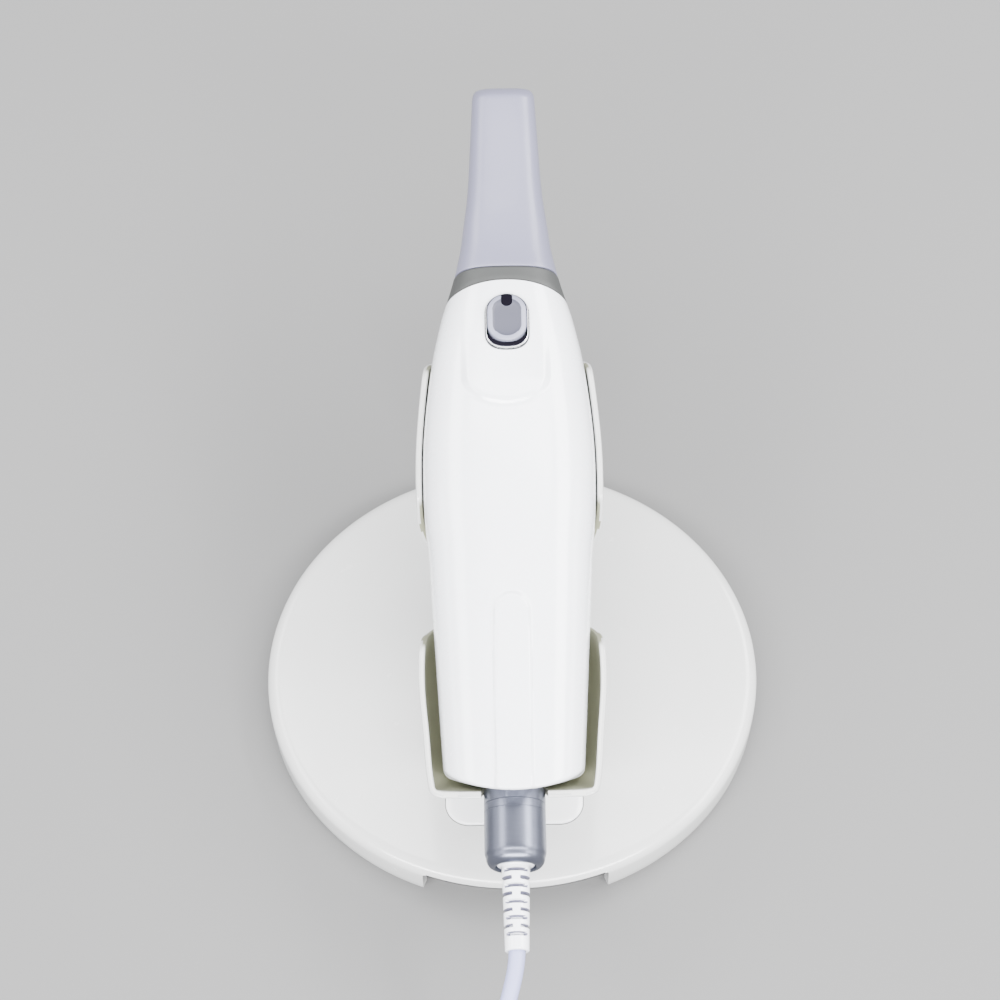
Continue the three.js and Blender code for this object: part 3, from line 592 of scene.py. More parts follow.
def coil_point(turn):
    """Where the cable is after so many turns of the coil: in, out and in again, a layer at a time."""
    pitch = CABLE_DIAMETER
    radius = COIL_RADIUS
    for k in (1, 2, 3, 9, 10, 11):
        radius -= pitch * smooth(turn, k - 0.3, k)
    for k in (5, 6, 7):
        radius += pitch * smooth(turn, k - 0.3, k)
    level = COIL_LEVEL + pitch * (smooth(turn, 3.57, 3.9) + smooth(turn, 7.57, 7.9))
    over = smooth(turn, 11.05, 11.35)  # over the turn beside it, to lie in the groove on top
    radius += 1.5 * pitch * over
    if turn > 11.05:
        level += math.sqrt(max(0.0, pitch ** 2 - (radius - COIL_RADIUS + 2 * pitch) ** 2))
    level += 1.9 * smooth(turn, 11.33, COIL_TURNS)  # up into the plug
    angle = math.pi * (1 + 2 * turn)
    return np.array([COIL_CENTRE[0] + radius * math.cos(angle),
                     COIL_CENTRE[1] + radius * math.sin(angle), level])


def cable_line():
    start = np.array(ROUTE[0]) + INTO_BOOT
    free = through([start, *ROUTE, coil_point(0)], 1.5)
    per_turn = 96
    wound = [coil_point(k / per_turn) for k in range(1, round(COIL_TURNS * per_turn))]
    into_plug = [(PLUG_X, PLUG_BACK - 2, PLUG_Z), (PLUG_X, PLUG_BACK + 1, PLUG_Z)]
    line = np.array([*free, *wound, *into_plug])
    for _ in range(4):
        line[1:-1] = (line[:-2] + 2 * line[1:-1] + line[2:]) / 4
    return line


def tube(line, radius):
    """A round tube along a line, without twist, closed at both ends."""
    steps = np.gradient(line, axis=0)
    steps /= np.linalg.norm(steps, axis=1)[:, None]
    across = np.array([1.0, 0, 0])
    angles = ring_angles(14)[:, None]
    rings = []
    for point, step in zip(line, steps):
        across = across - step * (across @ step)
        across /= np.linalg.norm(across)
        other = np.cross(step, across)
        rings.append(point + radius * (np.cos(angles) * across + np.sin(angles) * other))
    return shell(rings)


def build_cable():
    line = cable_line()
    cable = piece("signal_cable", tube(line, CABLE_DIAMETER / 2), DISC, 60,
                  None, "cable_sheath", "cable", "cable_coil", "cable_end")
    world_line = [DISC @ (Vector(p) * MM) for p in line]
    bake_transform(cable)
    return cable, world_line


def build_boot():
    """The strain relief: a tapered boot, slotted by turns above and below, then left and right."""
    sides = 64
    angles = ring_angles(sides)
    reaches = (smooth(np.abs(np.sin(angles)), 0.55, 0.66), smooth(np.abs(np.cos(angles)), 0.3, 0.42))
    taper = curve_of([(-45, 3.2), (-40, 3.3), (-30, 3.55), (-22, 3.75), (-20, 3.8)], 0.8)
    profile = [(2.25, -40.5), (2.25, -43.9), (2.6, BOOT_END), (3.0, -43.95), (3.2, -43.75)]
    for s in np.arange(-43.6, -21.35, 0.16):
        depth = np.zeros(sides)
        for k in range(9):
            middle = -22.6 - 2.15 * k
            depth += 1.25 * reaches[k % 2] * (1 - smooth(abs(s - middle), 0.34, 0.5))
        profile.append((taper(s) - depth, s))
    profile += [(3.9, -21.1), (4.6, -21.0), (4.95, -20.8), (5.1, -20.4), (5.1, -18.6), (4.9, -18.4)]

    # the slot floors get the sleeve's darker grey as painted shade in the slots
    def slot_floor_shade(place, _):
        return -43 < place.y < -22 and 2.2 < math.hypot(place.x, place.z) < taper(place.y) - 0.5

    boot = piece("cable_boot", shell(turned(profile, sides, True)), SCANNER, 50,
                 "scanner", "housing_white", "strain_relief")
    paint(boot, SCANNER, "sleeve_grey", slot_floor_shade)
    return boot


def plug_ring(half_x, half_z, radius, y):
    flat = rounded_ring(half_x, half_z, radius)
    return section(flat[:, 0] + PLUG_X, PLUG_BACK + y, flat[:, 1] + PLUG_Z)


def build_plug():
    """The plug on the cable's end: a moulded grip with ridges, and a seamless metal shell."""
    neck = [(2.6, 2.6, 2.55, 0), (2.9, 2.8, 2.6, 0.3), (3.1, 2.9, 2.6, 3), (4.6, 3, 2.4, 4.6),
            (5.3, 3.15, 2.3, 5.6)]
    rings = [plug_ring(*ring) for ring in neck]
    for k in range(5):
        for inset, shift in ((0, 0), (0.35, 0.25), (0.35, 0.75), (0, 1)):
            rings.append(plug_ring(5.5 - inset, 3.2 - inset, 2.2, 7.2 + 1.6 * k + shift))
    for inset, y in ((0, 16), (0, 20), (0.12, 20.6), (0.45, 20.9), (0.9, 21)):
        rings.append(plug_ring(5.5 - inset, 3.2 - inset, 2.2 - inset, y))
    grip = piece("plug_grip", shell(rings), DISC, 40, "stand", "housing_white", "usb_plug_body")
    walls = [(4.15, 1.25, 1.2, 0.1), (4.15, 1.25, 1.2, 6.5), (4.08, 1.18, 1.13, 6.75), (3.95, 1.05, 1.0, 6.8),
             (3.85, 0.95, 0.9, 6.6), (3.85, 0.95, 0.9, 0.8)]
    tongue = [(3.2, 0.35, 0.3, 0.7), (3.2, 0.35, 0.3, 5.6), (3.0, 0.2, 0.15, 5.9)]
    parts = [shell([plug_ring(a, b, radius, 21 + y) for a, b, radius, y in part]) for part in (walls, tongue)]
    return grip, piece("plug_shell", joined(*parts), DISC, 30, "stand", "steel", "usb_plug_shell")


def build_tie():
    """A soft strap round the coil's bundle."""
    low, high = [np.array(corner - DISC.translation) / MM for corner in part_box("coil_tie")]
    middle, half = (low + high) / 2, (high - low) / 2
    edges = [(0, 0.25), (0.12, 0.06), (0.4, 0), (0.62, 0.06), (0.75, 0.25)]
    steps = [(inset, half[0] - back) for inset, back in edges]
    steps += [(inset, -across) for inset, across in reversed(steps)]
    rings = []
    for inset, across in steps:
        flat = rounded_ring(half[1] - inset, half[2] - inset, 2.6 - inset, 10)
        rings.append(np.column_stack([np.full(len(flat), across), flat]) + middle)
    return piece("strap", skin(rings, loop=True), DISC, 40, "stand", "rubber_dark", "coil_tie")


cable, cable_path = build_cable()
boot = build_boot()
plug_grip, plug_shell = build_plug()
strap = build_tie()


# ---- Stand ----
def disc_top(radius):
    return BASE_TOP - (BASE_TOP - RIM_TOP) * (np.asarray(radius) / BASE_RADIUS) ** 2


def around(count, turn, radius):
    angles = [math.radians(-90 - turn - k * 360 / count) for k in range(count)]
    return [(radius * math.cos(a), radius * math.sin(a)) for a in angles]


def build_disc():
    """The stand's cover: a shallow dome with a rounded rim and a skirt, notched at the front."""
    flat = BASE_RADIUS - RIM_ROUND
    profile = [(r, disc_top(r)) for r in np.linspace(0, flat, 27)]
    for k in range(1, 11):
        angle = k / 10 * math.pi / 2
        level = disc_top(flat) - 3.1 * (1 - math.cos(angle)) - 0.01 * k
        profile.append((flat + RIM_ROUND * math.sin(angle), level))
    profile += [(68.95, 7), (68.8, 4), (68.65, 1.9), (68.5, 1.5), (68.2, SKIRT_BOTTOM + 0.05),
                (67.9, SKIRT_BOTTOM), (66.8, SKIRT_BOTTOM), (66.4, 1.4), (66.2, 1.9), (66.2, 8.2),
                (65.9, 8.9), (65, 9.3)]
    profile += [(r, disc_top(r) - 2.4) for r in (62, 50, 30, 0)]
    edge = math.asin(NOTCH_HALF_WIDTH / BASE_RADIUS)
    inside = (-6, -3, -1.4, -1, -0.7, -0.45, -0.25, -0.1, -0.02)
    outside = (0.02, 0.1, 0.25, 0.45, 0.7, 1.5, 3)
    side = [edge + x / BASE_RADIUS for x in inside + outside]
    rest = np.linspace(side[-1], math.pi, 90)[1:-1]
    middle = np.linspace(-side[0], side[0], 22)[1:-1]
    columns = [*[-x for x in reversed([*side, *rest])], *middle, *side, *rest, math.pi]
    rings = []
    for radius, height in profile:
        ring = []
        for angle in columns:
            across = (abs(angle) - edge) * BASE_RADIUS
            lowest = SKIRT_BOTTOM + 0.6 * (1 - smooth(across, 0, 0.7))
            if across < 0:
                lowest = NOTCH_TOP - (1 - math.sqrt(1 - min(1.0, max(0.0, across + 1)) ** 2))
            level = max(height, lowest) if radius > 60 else height
            ring.append((radius * math.sin(angle), -radius * math.cos(angle), level))
        rings.append(np.array(ring))
    piece("stand_disc", skin(rings), DISC, 40, "stand", "stand_white", "base_cover")


def hex_screw(name, body, place, x, y, seat, tip, head, shaft, node):
    """A button-head screw, head down, with a hexagon socket."""
    sides = 48
    socket = head * 0.45 / np.cos((ring_angles(sides) + math.pi / 6) % (math.pi / 3) - math.pi / 6)
    low = seat - 1.7
    profile = [(socket, low + 1.1), (socket, low), (head - 0.5, low), (head - 0.15, low + 0.15),
               (head, low + 0.5), (head, seat), (shaft, seat), (shaft, tip - 0.5), (shaft - 0.4, tip)]
    piece(name, moved(shell(turned(profile, sides)), x, y), place, 30, body, "steel", node)


def build_under_stand():
    plate_profile = [(0, PLATE_BOTTOM), (PLATE_RADIUS - 0.6, PLATE_BOTTOM),
                     (PLATE_RADIUS, PLATE_BOTTOM + 0.6), (PLATE_RADIUS, PLATE_TOP - 0.6),
                     (PLATE_RADIUS - 0.6, PLATE_TOP), (0, PLATE_TOP)]
    plate = made("ballast_plate", skin(turned(plate_profile, 120)), DISC, 30)
    base_screws = around(4, FOOT_TURN + 45, BASE_SCREW_CIRCLE)
    pedestal_screws = [(0, PEDESTAL_Y - 14), (0, PEDESTAL_Y + 14)]
    well = PLATE_BOTTOM + 1.8
    bore = shell(turned([(4.1, 0), (4.1, well), (2.3, well), (2.3, 10)], 32))
    cut(plate, joined(*(moved(bore, x, y) for x, y in base_screws + pedestal_screws)), DISC, corner=30)
    finish_piece(plate, "stand", "steel", "base_plate")
    seat = PLATE_BOTTOM + 1.5
    for k, (x, y) in enumerate(base_screws, 1):
        hex_screw(f"cover_screw_{k}", "stand", DISC, x, y, seat, 10.2, 3.6, 1.3, f"base_screw_{k}")
    for k, (x, y) in enumerate(pedestal_screws, 1):
        hex_screw(f"column_screw_{k}", "stand", DISC, x, y, seat, 22, 3.6, 1.9, f"pedestal_screw_{k}")
    foot_profile = [(0, 0.5), (3.0, 0.5), (3.4, 0.1), (3.7, 0), (5.2, 0), (5.4, 0.25), (5.6, 0), (6.3, 0.05),
                    (6.65, 0.25), (FOOT_RADIUS, 0.6), (FOOT_RADIUS, 2.2), (0, 2.2)]
    for k, (x, y) in enumerate(around(4, FOOT_TURN, FOOT_CIRCLE), 1):
        foot = moved(skin(turned(foot_profile, 56)), x, y)
        piece(f"rubber_foot_{k}", foot, DISC, 45, "stand", "rubber_dark", f"foot_{k}")


def badge_rings(steps):
    """The badge's outline, drawn in and raised above the disc by each step."""
    rings = []
    for inset, height in steps:
        corner = max(BADGE_CORNER - inset, 0.3)
        flat = rounded_ring(BADGE_HALF_WIDTH - inset, BADGE_HALF_LENGTH - inset, corner, 14) + (0, BADGE_Y)
        rings.append(level_ring(flat, disc_top(np.hypot(*flat.T)) + height))
    return rings


def build_badge():
    """A clear domed pill, cast on the disc, and a thin dark ring round its foot: painted contact shadow."""
    swell = [(0, -0.1), (0, 0.3), (0.08, 0.5), (0.3, 0.72), (0.7, 0.86), (1.4, 0.96), (2.6, 1.03),
             (4.5, 1.08), (6.2, 1.1)]
    piece("badge_dome", shell(badge_rings(swell)), DISC, 60, "stand", "clear_resin", "badge")
    # the dark ring is painted contact shadow under the badge's edge
    line = [(0.3, 0.02), (0.3, 0.1), (-0.12, 0.1), (-0.2, 0.02)]
    piece("badge_foot_shadow", skin(badge_rings(line), loop=True), DISC, 60, "stand", "collar_grey")


# ---- Cradle ----
cradle_side = curve_of(CRADLE_SIDE)
cradle_bottom = curve_of(CRADLE_BOTTOM)


def rim_height(s):
    dip_from, dip_to, ear_from, ear_to, end_from, end_to = RIM_STATIONS
    dip = smooth(s, dip_from, dip_to) - smooth(s, ear_from, ear_to) + smooth(s, end_from, end_to)
    return RIM_HEIGHT + (RIM_DIP - RIM_HEIGHT) * dip


def trough_keel():
    """The trough's lowest line, from its end rim down the leaning end and along to the ears."""
    t = np.linspace(0, 1, 60)
    lean_s = CRADLE_FROM * (1 - t) ** 2 + 2 * t * (1 - t) * (CRADLE_FROM + 6) + t ** 2 * (CRADLE_FROM + 18)
    lean_w = 2 * (1 - t) ** 2 - 26 * t * (1 - t) - 17 * t ** 2
    floor = -cradle_bottom(lean_s)
    lean_w = (lean_w + floor) / 2 + np.sqrt((lean_w - floor) ** 2 / 4 + 0.4)
    along = np.arange(lean_s[-1] + 1.5, CRADLE_TO + 0.1, 1.5)
    along[-1] = CRADLE_TO
    return [(CRADLE_FROM, RIM_HEIGHT), (CRADLE_FROM, 2.6), *zip(lean_s[::3], lean_w[::3]),
            *zip(along, -cradle_bottom(along))]


def trough_half_width(s):
    """Half the trough's width, with its corners rounded in plan at the end wall."""
    corner = 3.0
    into = np.clip(corner - (s - CRADLE_FROM), 0, corner)
    return cradle_side(s) - corner + math.sqrt(corner ** 2 - into ** 2)


def trough_row(s, keel):
    """One cross section, from one rim over the bottom to the other."""
    rim = float(rim_height(s))
    side = trough_half_width(s)
    drop = RIM_HEIGHT - keel
    centre = RIM_HEIGHT * (1 - float(smooth(drop, 0, 9)))
    angles = np.linspace(0, math.pi, 240)
    u, w = oval(-angles, side, 1, centre - keel, HANDLE_POWER)
    u, w = np.concatenate([[side], u, [-side]]), np.concatenate([[rim], w + centre, [rim]])
    if rim < centre:
        inside = np.flatnonzero(w[1:-1] <= rim) + 1
        first, last = inside[0], inside[-1]
        share = (w[first - 1] - rim) / max(w[first - 1] - w[first], 1e-9)
        edge = u[first - 1] + share * (u[first] - u[first - 1])
        u = np.concatenate([[edge], u[first:last + 1], [-edge]])
        w = np.concatenate([[rim], w[first:last + 1], [rim]])
    run = np.concatenate([[0], np.cumsum(np.hypot(np.diff(u), np.diff(w)))])
    places = np.linspace(0, run[-1], 61)
    return section(np.interp(places, run, u), s, np.interp(places, run, w))


def build_cradle():
    rows = [trough_row(s, keel) for s, keel in trough_keel()]
    cradle = made("cradle_trough", skin(rows, closed=False), SCANNER)
    thicken(cradle, CRADLE_WALL, levels=1)
    half = BARREL_RADIUS + 0.7
    barrel = shell(turned([(half, -8), (half, 12)], 64, True))
    mouth_x, mouth_w = np.array([-half, half, half, -half]), np.array([0, 0, 30, 30])
    mouth = shell([section(mouth_x, y, mouth_w) for y in (-8, 12)])
    cut(cradle, barrel, SCANNER)
    cut(cradle, mouth, SCANNER)

    def faces_in(place, normal):
        middle = Vector((0, min(max(place.y, 14), 118), 4))
        return normal.dot(middle - place) > 0

    finish_piece(cradle, "stand", "stand_white", "cradle")
    # the trough's inner faces get the painted shade
    paint(cradle, SCANNER, "trough_painted_shade", faces_in)


def belly(share, bottom):
    """The height of an oval section's lower half, at a share of its half width."""
    return -bottom * (1 - share ** HANDLE_POWER) ** (1 / HANDLE_POWER)


def under_trough(x, y):
    """The height of the trough's underside over a point of the disc."""
    drop = -17.0
    for _ in range(8):  # the station and the depth depend on each other
        s = (y - AXIS_Y + drop * math.sin(TILT)) / math.cos(TILT)
        drop = belly(min(1.0, abs(x) / float(cradle_side(s))), float(cradle_bottom(s)))
    return AXIS_Z + s * math.sin(TILT) + drop * math.cos(TILT)


def build_pedestal():
    """The column between the disc and the cradle, flared into both."""
    count = 96
    fillet = 3.0
    rings = []
    for share in [*np.linspace(0, 0.16, 7), *np.linspace(0.2, 0.8, 9), *np.linspace(0.84, 1, 7)]:
        ring = []
        for angle in ring_angles(count):
            x, y = PEDESTAL_HALF_WIDTH * math.cos(angle), PEDESTAL_HALF_LENGTH * math.sin(angle)
            low = float(disc_top(math.hypot(x, y + PEDESTAL_Y))) - 0.05
            high = under_trough(x, y + PEDESTAL_Y) + COLUMN_INTO_TROUGH
            z = low + share * (high - low)
            near = max(0.0, min(z - low, high - z, fillet))
            flare = fillet - math.sqrt(fillet ** 2 - (fillet - near) ** 2)
            grow_x, grow_y = math.cos(angle) * flare, math.sin(angle) * flare
            if share > 0.5:
                z = min(z, under_trough(x + grow_x, y + grow_y + PEDESTAL_Y) + COLUMN_INTO_TROUGH)
            ring.append((x + grow_x, y + grow_y + PEDESTAL_Y, z))
        rings.append(np.array(ring))
    piece("column", shell(rings), DISC, 50, "stand", "stand_white", "pedestal")


build_disc()
build_under_stand()
build_badge()
build_cradle()
build_pedestal()


# ---- Handle ----
handle_side = curve_of(HANDLE_SIDE, 2.5)
handle_top = curve_of(HANDLE_TOP, 3.0)
handle_bottom = curve_of(HANDLE_BOTTOM, 3.0)


def dome(u, radius):
    """How far an arc in plan has fallen back at a distance from the middle plane."""
    return radius - np.sqrt(radius ** 2 - np.minimum(np.abs(u), 30) ** 2)


def end_face(u, w):
    """Where the handle's cable end is: domed in plan, leaning in below the axis and out above it."""
    below = np.maximum(2 - w, 0)
    lean = 0.5 * below + 0.026 * below ** 2
    return HANDLE_START + np.hypot(dome(u, END_DOME), lean) - OVERHANG * np.maximum(w - 2, 0)


def nose_face(u):
    """Where the handle's tip end is: domed in plan."""
    return HANDLE_LENGTH - dome(u, NOSE_DOME)


def raised(u, s):
    """How far the thumb pad and the rib stand above the plain handle."""
    pad_u = np.abs(u - PAD_CENTRE[0]) / PAD_HALF_WIDTH
    pad_s = np.maximum(PAD_CENTRE[1] - s, 0) / PAD_REACH
    edge = np.clip((1 - np.hypot(pad_u, pad_s)) * PAD_HALF_WIDTH / 1.7, 0, 1)
    level = BUTTON_W + 0.15 + (BUTTON_S - s) * math.tan(BUTTON_SLOPE) - handle_top(s)
    ramp = 1 - 0.05 * (1 - smooth(s, 108, 114))
    pad = np.clip(level, 0, PAD_HEIGHT) * ramp * edge * (1 - smooth(s, 126, 138))
    rib_u, rib_s = np.abs(u) / RIB_HALF_WIDTH, np.maximum(s - RIB_END, 0) / RIB_REACH
    rib = (1 - np.hypot(rib_u, rib_s)) * RIB_HALF_WIDTH
    return pad + RIB_HEIGHT * smooth(rib, 0, 1.0)


def half_angles(stations, seam, upper, count):
    """Angles round the section from one seam to the other, for one station or for each its own."""
    start = -np.arcsin((-seam / handle_bottom(stations)) ** (HANDLE_POWER / 2))
    share = np.linspace(0, 1, count)
    return start + share * (math.pi - 2 * start) if upper else start - share * (math.pi + 2 * start)


def handle_sizes(s, inset=0.0):
    """The handle's half width, top and bottom, drawn in."""
    return handle_side(s) - inset, handle_top(s) - inset, handle_bottom(s) - inset


def handle_points(stations, seam, upper, count):
    """Points on half of the handle, from seam to seam, each at its own station."""
    angles = half_angles(stations, seam, upper, count)
    u, w = oval(angles, *handle_sizes(stations), HANDLE_POWER)
    if upper:
        w = w + raised(u, stations) * smooth(w, 3, 9)
    return u, w


def build_half(name, seam, upper, rows, count):
    """One half of the handle's shell, from the edge of its connector hole to its nose."""
    middle = half_angles(70, seam, upper, count)
    fillet = np.where(np.sin(middle) > 0, 1.0, 2.0) + 0.6 * np.abs(np.cos(middle)) ** 3
    u, w = handle_points(np.zeros(count), seam, upper, count)
    first = end_face(u, w)
    hole = BARREL_RADIUS + 0.1
    low = math.asin(seam / hole)
    angles = np.linspace(low, math.pi - low if upper else -math.pi - low, count)
    draw = 1 - fillet / np.hypot(u, w)
    rim_u, rim_w = u * draw, seam + (w - seam) * draw
    rings = []
    for share in (0, 0.03, 0.1, 0.25, 0.4, 0.55, 0.7, 0.85, 0.95):
        a = hole * np.cos(angles) * (1 - share) + rim_u * share
        b = hole * np.sin(angles) * (1 - share) + rim_w * share
        rings.append(section(a, end_face(a, b) + (0.25 if share == 0 else 0), b))
    for turn in np.linspace(math.pi / 2, 0, 9):
        back = fillet * (1 - math.sin(turn))
        a, b = handle_points(first + back, seam, upper, count)
        shrink = 1 - fillet * (1 - math.cos(turn)) / np.hypot(a, b)
        a, b = a * shrink, seam + (b - seam) * shrink
        rings.append(section(a, end_face(a, b) + back, b))
    start = rings[-1][:, 1]
    for share in np.linspace(0, 1, rows + 1)[1:]:
        a, _ = handle_points(start + share * (nose_face(16) - start), seam, upper, count)
        stations = start + share * (nose_face(a) - start)
        a, b = handle_points(stations, seam, upper, count)
        rings.append(section(a, stations, b))
    u, s, w = rings[-1].T
    for inset, ahead in ((0.05, -0.03), (0.2, 0.05)):
        shrink = 1 - inset / np.hypot(u, w)
        rings.append(section(u * shrink, s + ahead, w * shrink))
    return made(name, skin(rings, closed=False), SCANNER, 60)


def facing_out(thing, inside):
    """Turns an open sheet's faces away from a point of the scanner that is inside it."""
    mesh = thing.data
    middle = SCANNER @ (Vector(inside) * MM)
    total = sum((poly.center - middle).dot(poly.normal) * poly.area for poly in mesh.polygons)
    if total < 0:
        mesh.flip_normals()


def underside(u, s):
    """The height of the handle's underside."""
    return belly(np.abs(u) / handle_side(s), handle_bottom(s))


def build_housing():
    top = build_half("handle_top", SEAM + SEAM_GAP, True, 220, 141)
    facing_out(top, (0, 70, 0))
    thicken(top, HANDLE_WALL)
    half_width, half_length = BEZEL_HALF_WIDTH + 0.17, BEZEL_HALF_LENGTH + 0.17
    cut(top, shell([stadium(half_width, half_length, z, BEZEL_POWER) for z in (-6, 6)]), BUTTON)
    finish_piece(top, "scanner", "housing_white", "housing_top")
    bottom = build_half("handle_bottom", SEAM - SEAM_GAP, False, 110, 81)
    facing_out(bottom, (0, 70, -3))
    thicken(bottom, HANDLE_WALL)
    places = [(-13, 16), (13, 16), (-14.5, 99), (14.5, 99)]
    bore = shell(turned([(2.6, -30), (2.6, -7)], 40))
    bosses = []
    for u, s in places:
        rings = turned([(2.6, 0), (3.4, 0), (3.4, -7), (1.5, -7), (1.5, -8), (2.6, -8)], 40)
        for ring in rings[:2]:
            ring[:, 2] = underside(ring[:, 0] + u, ring[:, 1] + s) + HANDLE_WALL / 2
        bosses.append(moved(skin(rings, loop=True), u, s))
    cut(bottom, joined(*(moved(bore, u, s) for u, s in places)), SCANNER)
    merge(bottom, made("bosses", joined(*bosses), SCANNER, 30))
    finish_piece(bottom, "scanner", "housing_white", "housing_bottom")
    for k, (u, s) in enumerate(places, 1):
        hex_screw(f"handle_screw_{k}", "scanner", SCANNER, u, s, -8.5, 4, 2.3, 1.2, f"housing_screw_{k}")


# ---- Collar and tip ----
def build_collar():
    count = 120
    angles = ring_angles(count) + 0.0001  # no point is left on the creases of the section
    u, _ = oval(angles, handle_side(143), 1, 1, HANDLE_POWER)
    back = nose_face(u) + 0.3
    front = COLLAR_END - 0.3

    def ring(s, shape, inset=0.0):
        u, w = oval(angles, *handle_sizes(s, inset), shape)
        return section(u, s, w)

    bore_u, bore_w = oval(angles, 7.7, 5.7, 5.7, 6)
    rings = [section(bore_u, 141, bore_w)]
    for inset, ahead in ((1.6, -0.4), (0.3, 0.02), (0.08, 0.1), (0, 0.25)):
        rings.append(ring(back + ahead, HANDLE_POWER, inset))
    for share in (0.3, 0.6, 0.9):
        rings.append(ring(back + 0.25 + share * (front - back - 0.25), HANDLE_POWER + 0.3 * share))
    for inset, s in ((0, front), (0.1, COLLAR_END - 0.08), (0.35, COLLAR_END)):
        rings.append(ring(s, 2.85, inset))
    rings.append(section(bore_u, COLLAR_END, bore_w))
    piece("grey_collar", skin(rings, loop=True), SCANNER, 40, "scanner", "collar_grey", "collar")


def build_sleeve():
    """The removable tip: a thin hollow horn with a closed bevelled end and a window underneath."""
    sides, tops, bottoms = curve_of(SLEEVE_SIDE), curve_of(SLEEVE_TOP), curve_of(SLEEVE_BOTTOM)
    angles = ring_angles(120)
    base = COLLAR_END + 0.3

    def ring(s, inset, bevel=0.0):
        u, w = oval(angles, sides(s) - inset, tops(s) - inset - bevel, bottoms(s) - inset, SLEEVE_POWER)
        return section(u, s, w)

    end = [(0, 4.2, 1.0), (0, 2.3, 2.9), (0.1, 1.7, 2.9), (0.35, 1.15, 2.75), (0.8, 0.65, 2.55),
           (1.5, 0.3, 2.1), (2.4, 0.1, 1.5), (3.4, 0, 0.85), (4.2, 0, 0.35), (4.7, 0, 0.12), (5.3, 0, 0.02)]
    mouth = [(0.2, 0.05), (0.06, 0.15), (0, 0.35), (0, 1.0), (0.2, 1.25)]
    inner_end = [(4, 1.6, 0.7), (2.6, 2.4, 1.6), (1.8, 4.0, 1.4)]
    rings = [ring(SLEEVE_END - back, inset, bevel) for back, inset, bevel in end]
    rings += [ring(s, 0) for s in np.linspace(SLEEVE_END - 6, base + 0.5, 60)]
    rings += [ring(base + ahead, inset) for ahead, inset in mouth]
    rings += [ring(s, 1.35) for s in np.linspace(base + 0.6, SLEEVE_END - 6, 40)]
    rings += [ring(SLEEVE_END - back, inset, bevel) for back, inset, bevel in inner_end]
    sleeve = made("tip_horn", shell(rings), SCANNER, 28)
    window = rounded_ring(6.5, 7.5, 1.6, 8) + (0, WINDOW_S)
    cut(sleeve, shell([level_ring(window, z) for z in (-14.0, -3.0)]), SCANNER, corner=28)
    finish_piece(sleeve, "tip", "sleeve_grey", "tip_sleeve")


# ---- Button ----
def stadium(half_width, half_length, z, shape=2.0):
    """A stadium at a height, with its cable end a superellipse of the given power."""
    flat = rounded_ring(half_width, half_length, half_width, 14)
    centre = half_width - half_length
    x, y = flat[:, 0] / half_width, np.minimum(flat[:, 1] - centre, 0) / half_width
    swell = np.where(y < 0, (np.abs(x) ** shape + np.abs(y) ** shape + 1e-12) ** (-1 / shape), 1.0)
    flat[:, 0] *= swell
    flat[:, 1] = np.where(y < 0, centre + y * half_width * swell, flat[:, 1])
    return level_ring(flat, z)


def bezel_part(name, steps, *rest):
    """A collar round the button, wider at its cable end by a share of the lip."""
    rings = []
    for inset, z, lip in steps:
        ring = stadium(BEZEL_HALF_WIDTH - inset, BEZEL_HALF_LENGTH - inset, z, BEZEL_POWER)
        ring[:, 1] += BEZEL_LIP * lip * smooth(-ring[:, 1], 3, 7)
        rings.append(ring)
    return piece(name, skin(rings, loop=True), BUTTON, 45, "scanner", *rest)


def build_button():
    bezel_steps = [(0, -2.3, 0), (0, 0.2, 0), (0.06, 0.42, 0), (0.16, 0.55, 0.05), (0.28, 0.6, 0.3),
                   (0.34, 0.5, 0.42), (0.36, 0.2, 0.45), (0.36, -2.3, 0.45)]
    bezel = bezel_part("chrome_bezel", bezel_steps, "bezel_chrome", "button_bezel")
    # below its crest the bezel gets the dark chrome copy: painted dark reflection
    paint(bezel, BUTTON, "chrome_dark_reflection", lambda place, _: place.z < 0.52)
    # a dark ring at the foot of the gap round the key, wider at its cable end: painted shade of the gap
    gap_shade_steps = [(0.37, -2.0, 0.46), (0.37, 0.34, 0.46), (0.41, 0.4, 1.5), (0.41, -2.0, 1.5)]
    bezel_part("key_gap_shade", gap_shade_steps, "window_dark")
    key = BUTTON @ Matrix.Translation((0, (BEZEL_LIP / 2 + 0.45) * MM, 0))
    cap_steps = [(0, -1.6), (0, 0.62), (0.05, 0.8), (0.2, 0.95), (1.2, 1.24), (1.32, 1.26), (1.45, 1.22),
                 (1.7, 1.08), (2.3, 1.0), (3.3, 0.95), (5.2, 0.92)]
    rings = []
    for inset, z in cap_steps:
        ring = stadium(CAP_HALF_WIDTH - inset, CAP_HALF_LENGTH - inset, z)
        ring[:, 1] -= 0.3 * smooth(inset, 0.1, 1.2)
        rings.append(ring)
    cap = made("scan_key", shell(rings), key, 40)
    cut(cap, shell([level_ring(window_outline(0.12, 1.0), z) for z in (0.35, 5.0)]), key, corner=40)
    merge(cap, made("stem", shell(turned([(2, -5.6), (2, -1.5)], 32)), key, 30))

    def in_dish(place, _):
        along = max(0.0, abs(place.y) - CAP_HALF_LENGTH + CAP_HALF_WIDTH)
        return math.hypot(place.x, along) < CAP_HALF_WIDTH - 1.4 and place.z > 0.8

    finish_piece(cap, "button", "button_grey", "button_cap")
    paint(cap, key, "button_face", in_dish)
    lamp_steps = [(0, 0.5), (0, 1.0), (0.1, 1.12), (0.3, 1.16)]
    lamp = shell([level_ring(window_outline(-inset), z) for inset, z in lamp_steps])
    piece("status_lamp", lamp, key, 50, "button", "window_dark", "status_window")


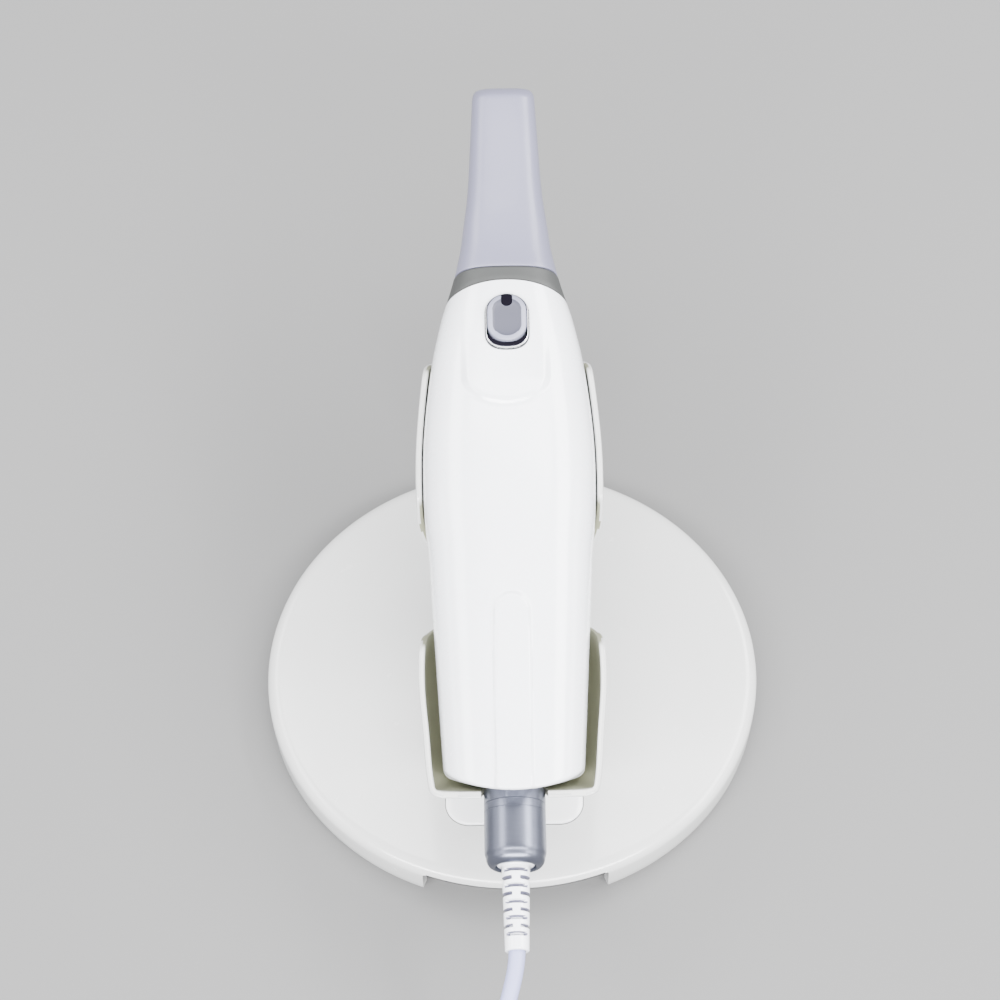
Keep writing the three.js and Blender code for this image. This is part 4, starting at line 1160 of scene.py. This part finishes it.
def window_outline(grow, ahead=0.0):
    """The status window: nearly square towards the tip, and round towards the cable."""
    front, back, half = 7.5 + ahead, 5.2, 1.5 + grow
    arc = [(half * math.cos(a), back + half * math.sin(a)) for a in np.linspace(math.pi, 2 * math.pi, 17)]
    return np.array([*arc, (half, front - 0.5), (half - 0.15, front - 0.15), (half - 0.5, front),
                     (-half + 0.5, front), (-half + 0.15, front - 0.15), (-half, front - 0.5)])


# ---- Connector ----
def on_barrel(steps):
    """Profile points given by how far they are inside the barrel's radius."""
    return [(BARREL_RADIUS - inset, s) for inset, s in steps]


def build_connector():
    socket = [(6.3, 14), (7.2, 14), (7.4, 13.8), (7.4, -0.3)]
    socket += on_barrel([(0.1, -0.5), (0, -0.6), (0, -0.8), (0, -2.4), (0, -4.1), (0, -4.3), (0.05, -4.34)])
    socket.append((6.3, -4.34))
    piece("socket_ring", skin(turned(socket, 96, True), loop=True), SCANNER, 30,
          "scanner", "connector_metal", "cable_socket")
    barrel = [(6.7, -4.42)]
    barrel += on_barrel([(0.05, -4.42), (0, -4.46), (0, -4.7), (0, -6.3), (0, -6.45), (0.06, -6.52),
                         (0, -6.6), (0, -6.75)])
    barrel += on_barrel([(0, s) for s in np.arange(-7.5, -17, -1)])
    barrel += on_barrel([(0, -17.2), (0.02, -17.5), (0.08, -17.9), (0.2, -18.3), (0.35, -18.7)])
    for turn in np.linspace(0, math.pi / 2, 9):
        barrel.append((5.75 + 2.1 * math.cos(turn), -18.7 - 2.7 * math.sin(turn)))
    barrel += [(5.5, -21.3), (5.4, -21.1), (5.4, -20.2), (6.7, -19.6)]
    piece("coupling_ring", skin(turned(barrel, 96, True), loop=True), SCANNER, 30,
          "coupling", "connector_metal", "coupling_sleeve")


build_housing()
build_collar()
build_sleeve()
build_button()
build_connector()

# ---- CAD nodes that keep their shape ----
KEPT = {
    "aluminium": ("nose_tube", "optics_block", "camera_lens", "projector_lens", "heat_spreader"),
    "optical_glass": ("nose_window",),
    "board_green": ("main_board", "button_board"),
    "rubber_dark": ("button_switch",),
    "connector_metal": ("plug_core",),
    "mirror": ("tip_mirror",),
}
for surface, nodes in KEPT.items():
    for node in nodes:
        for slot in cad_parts[node].material_slots:
            slot.material = surfaces[surface]
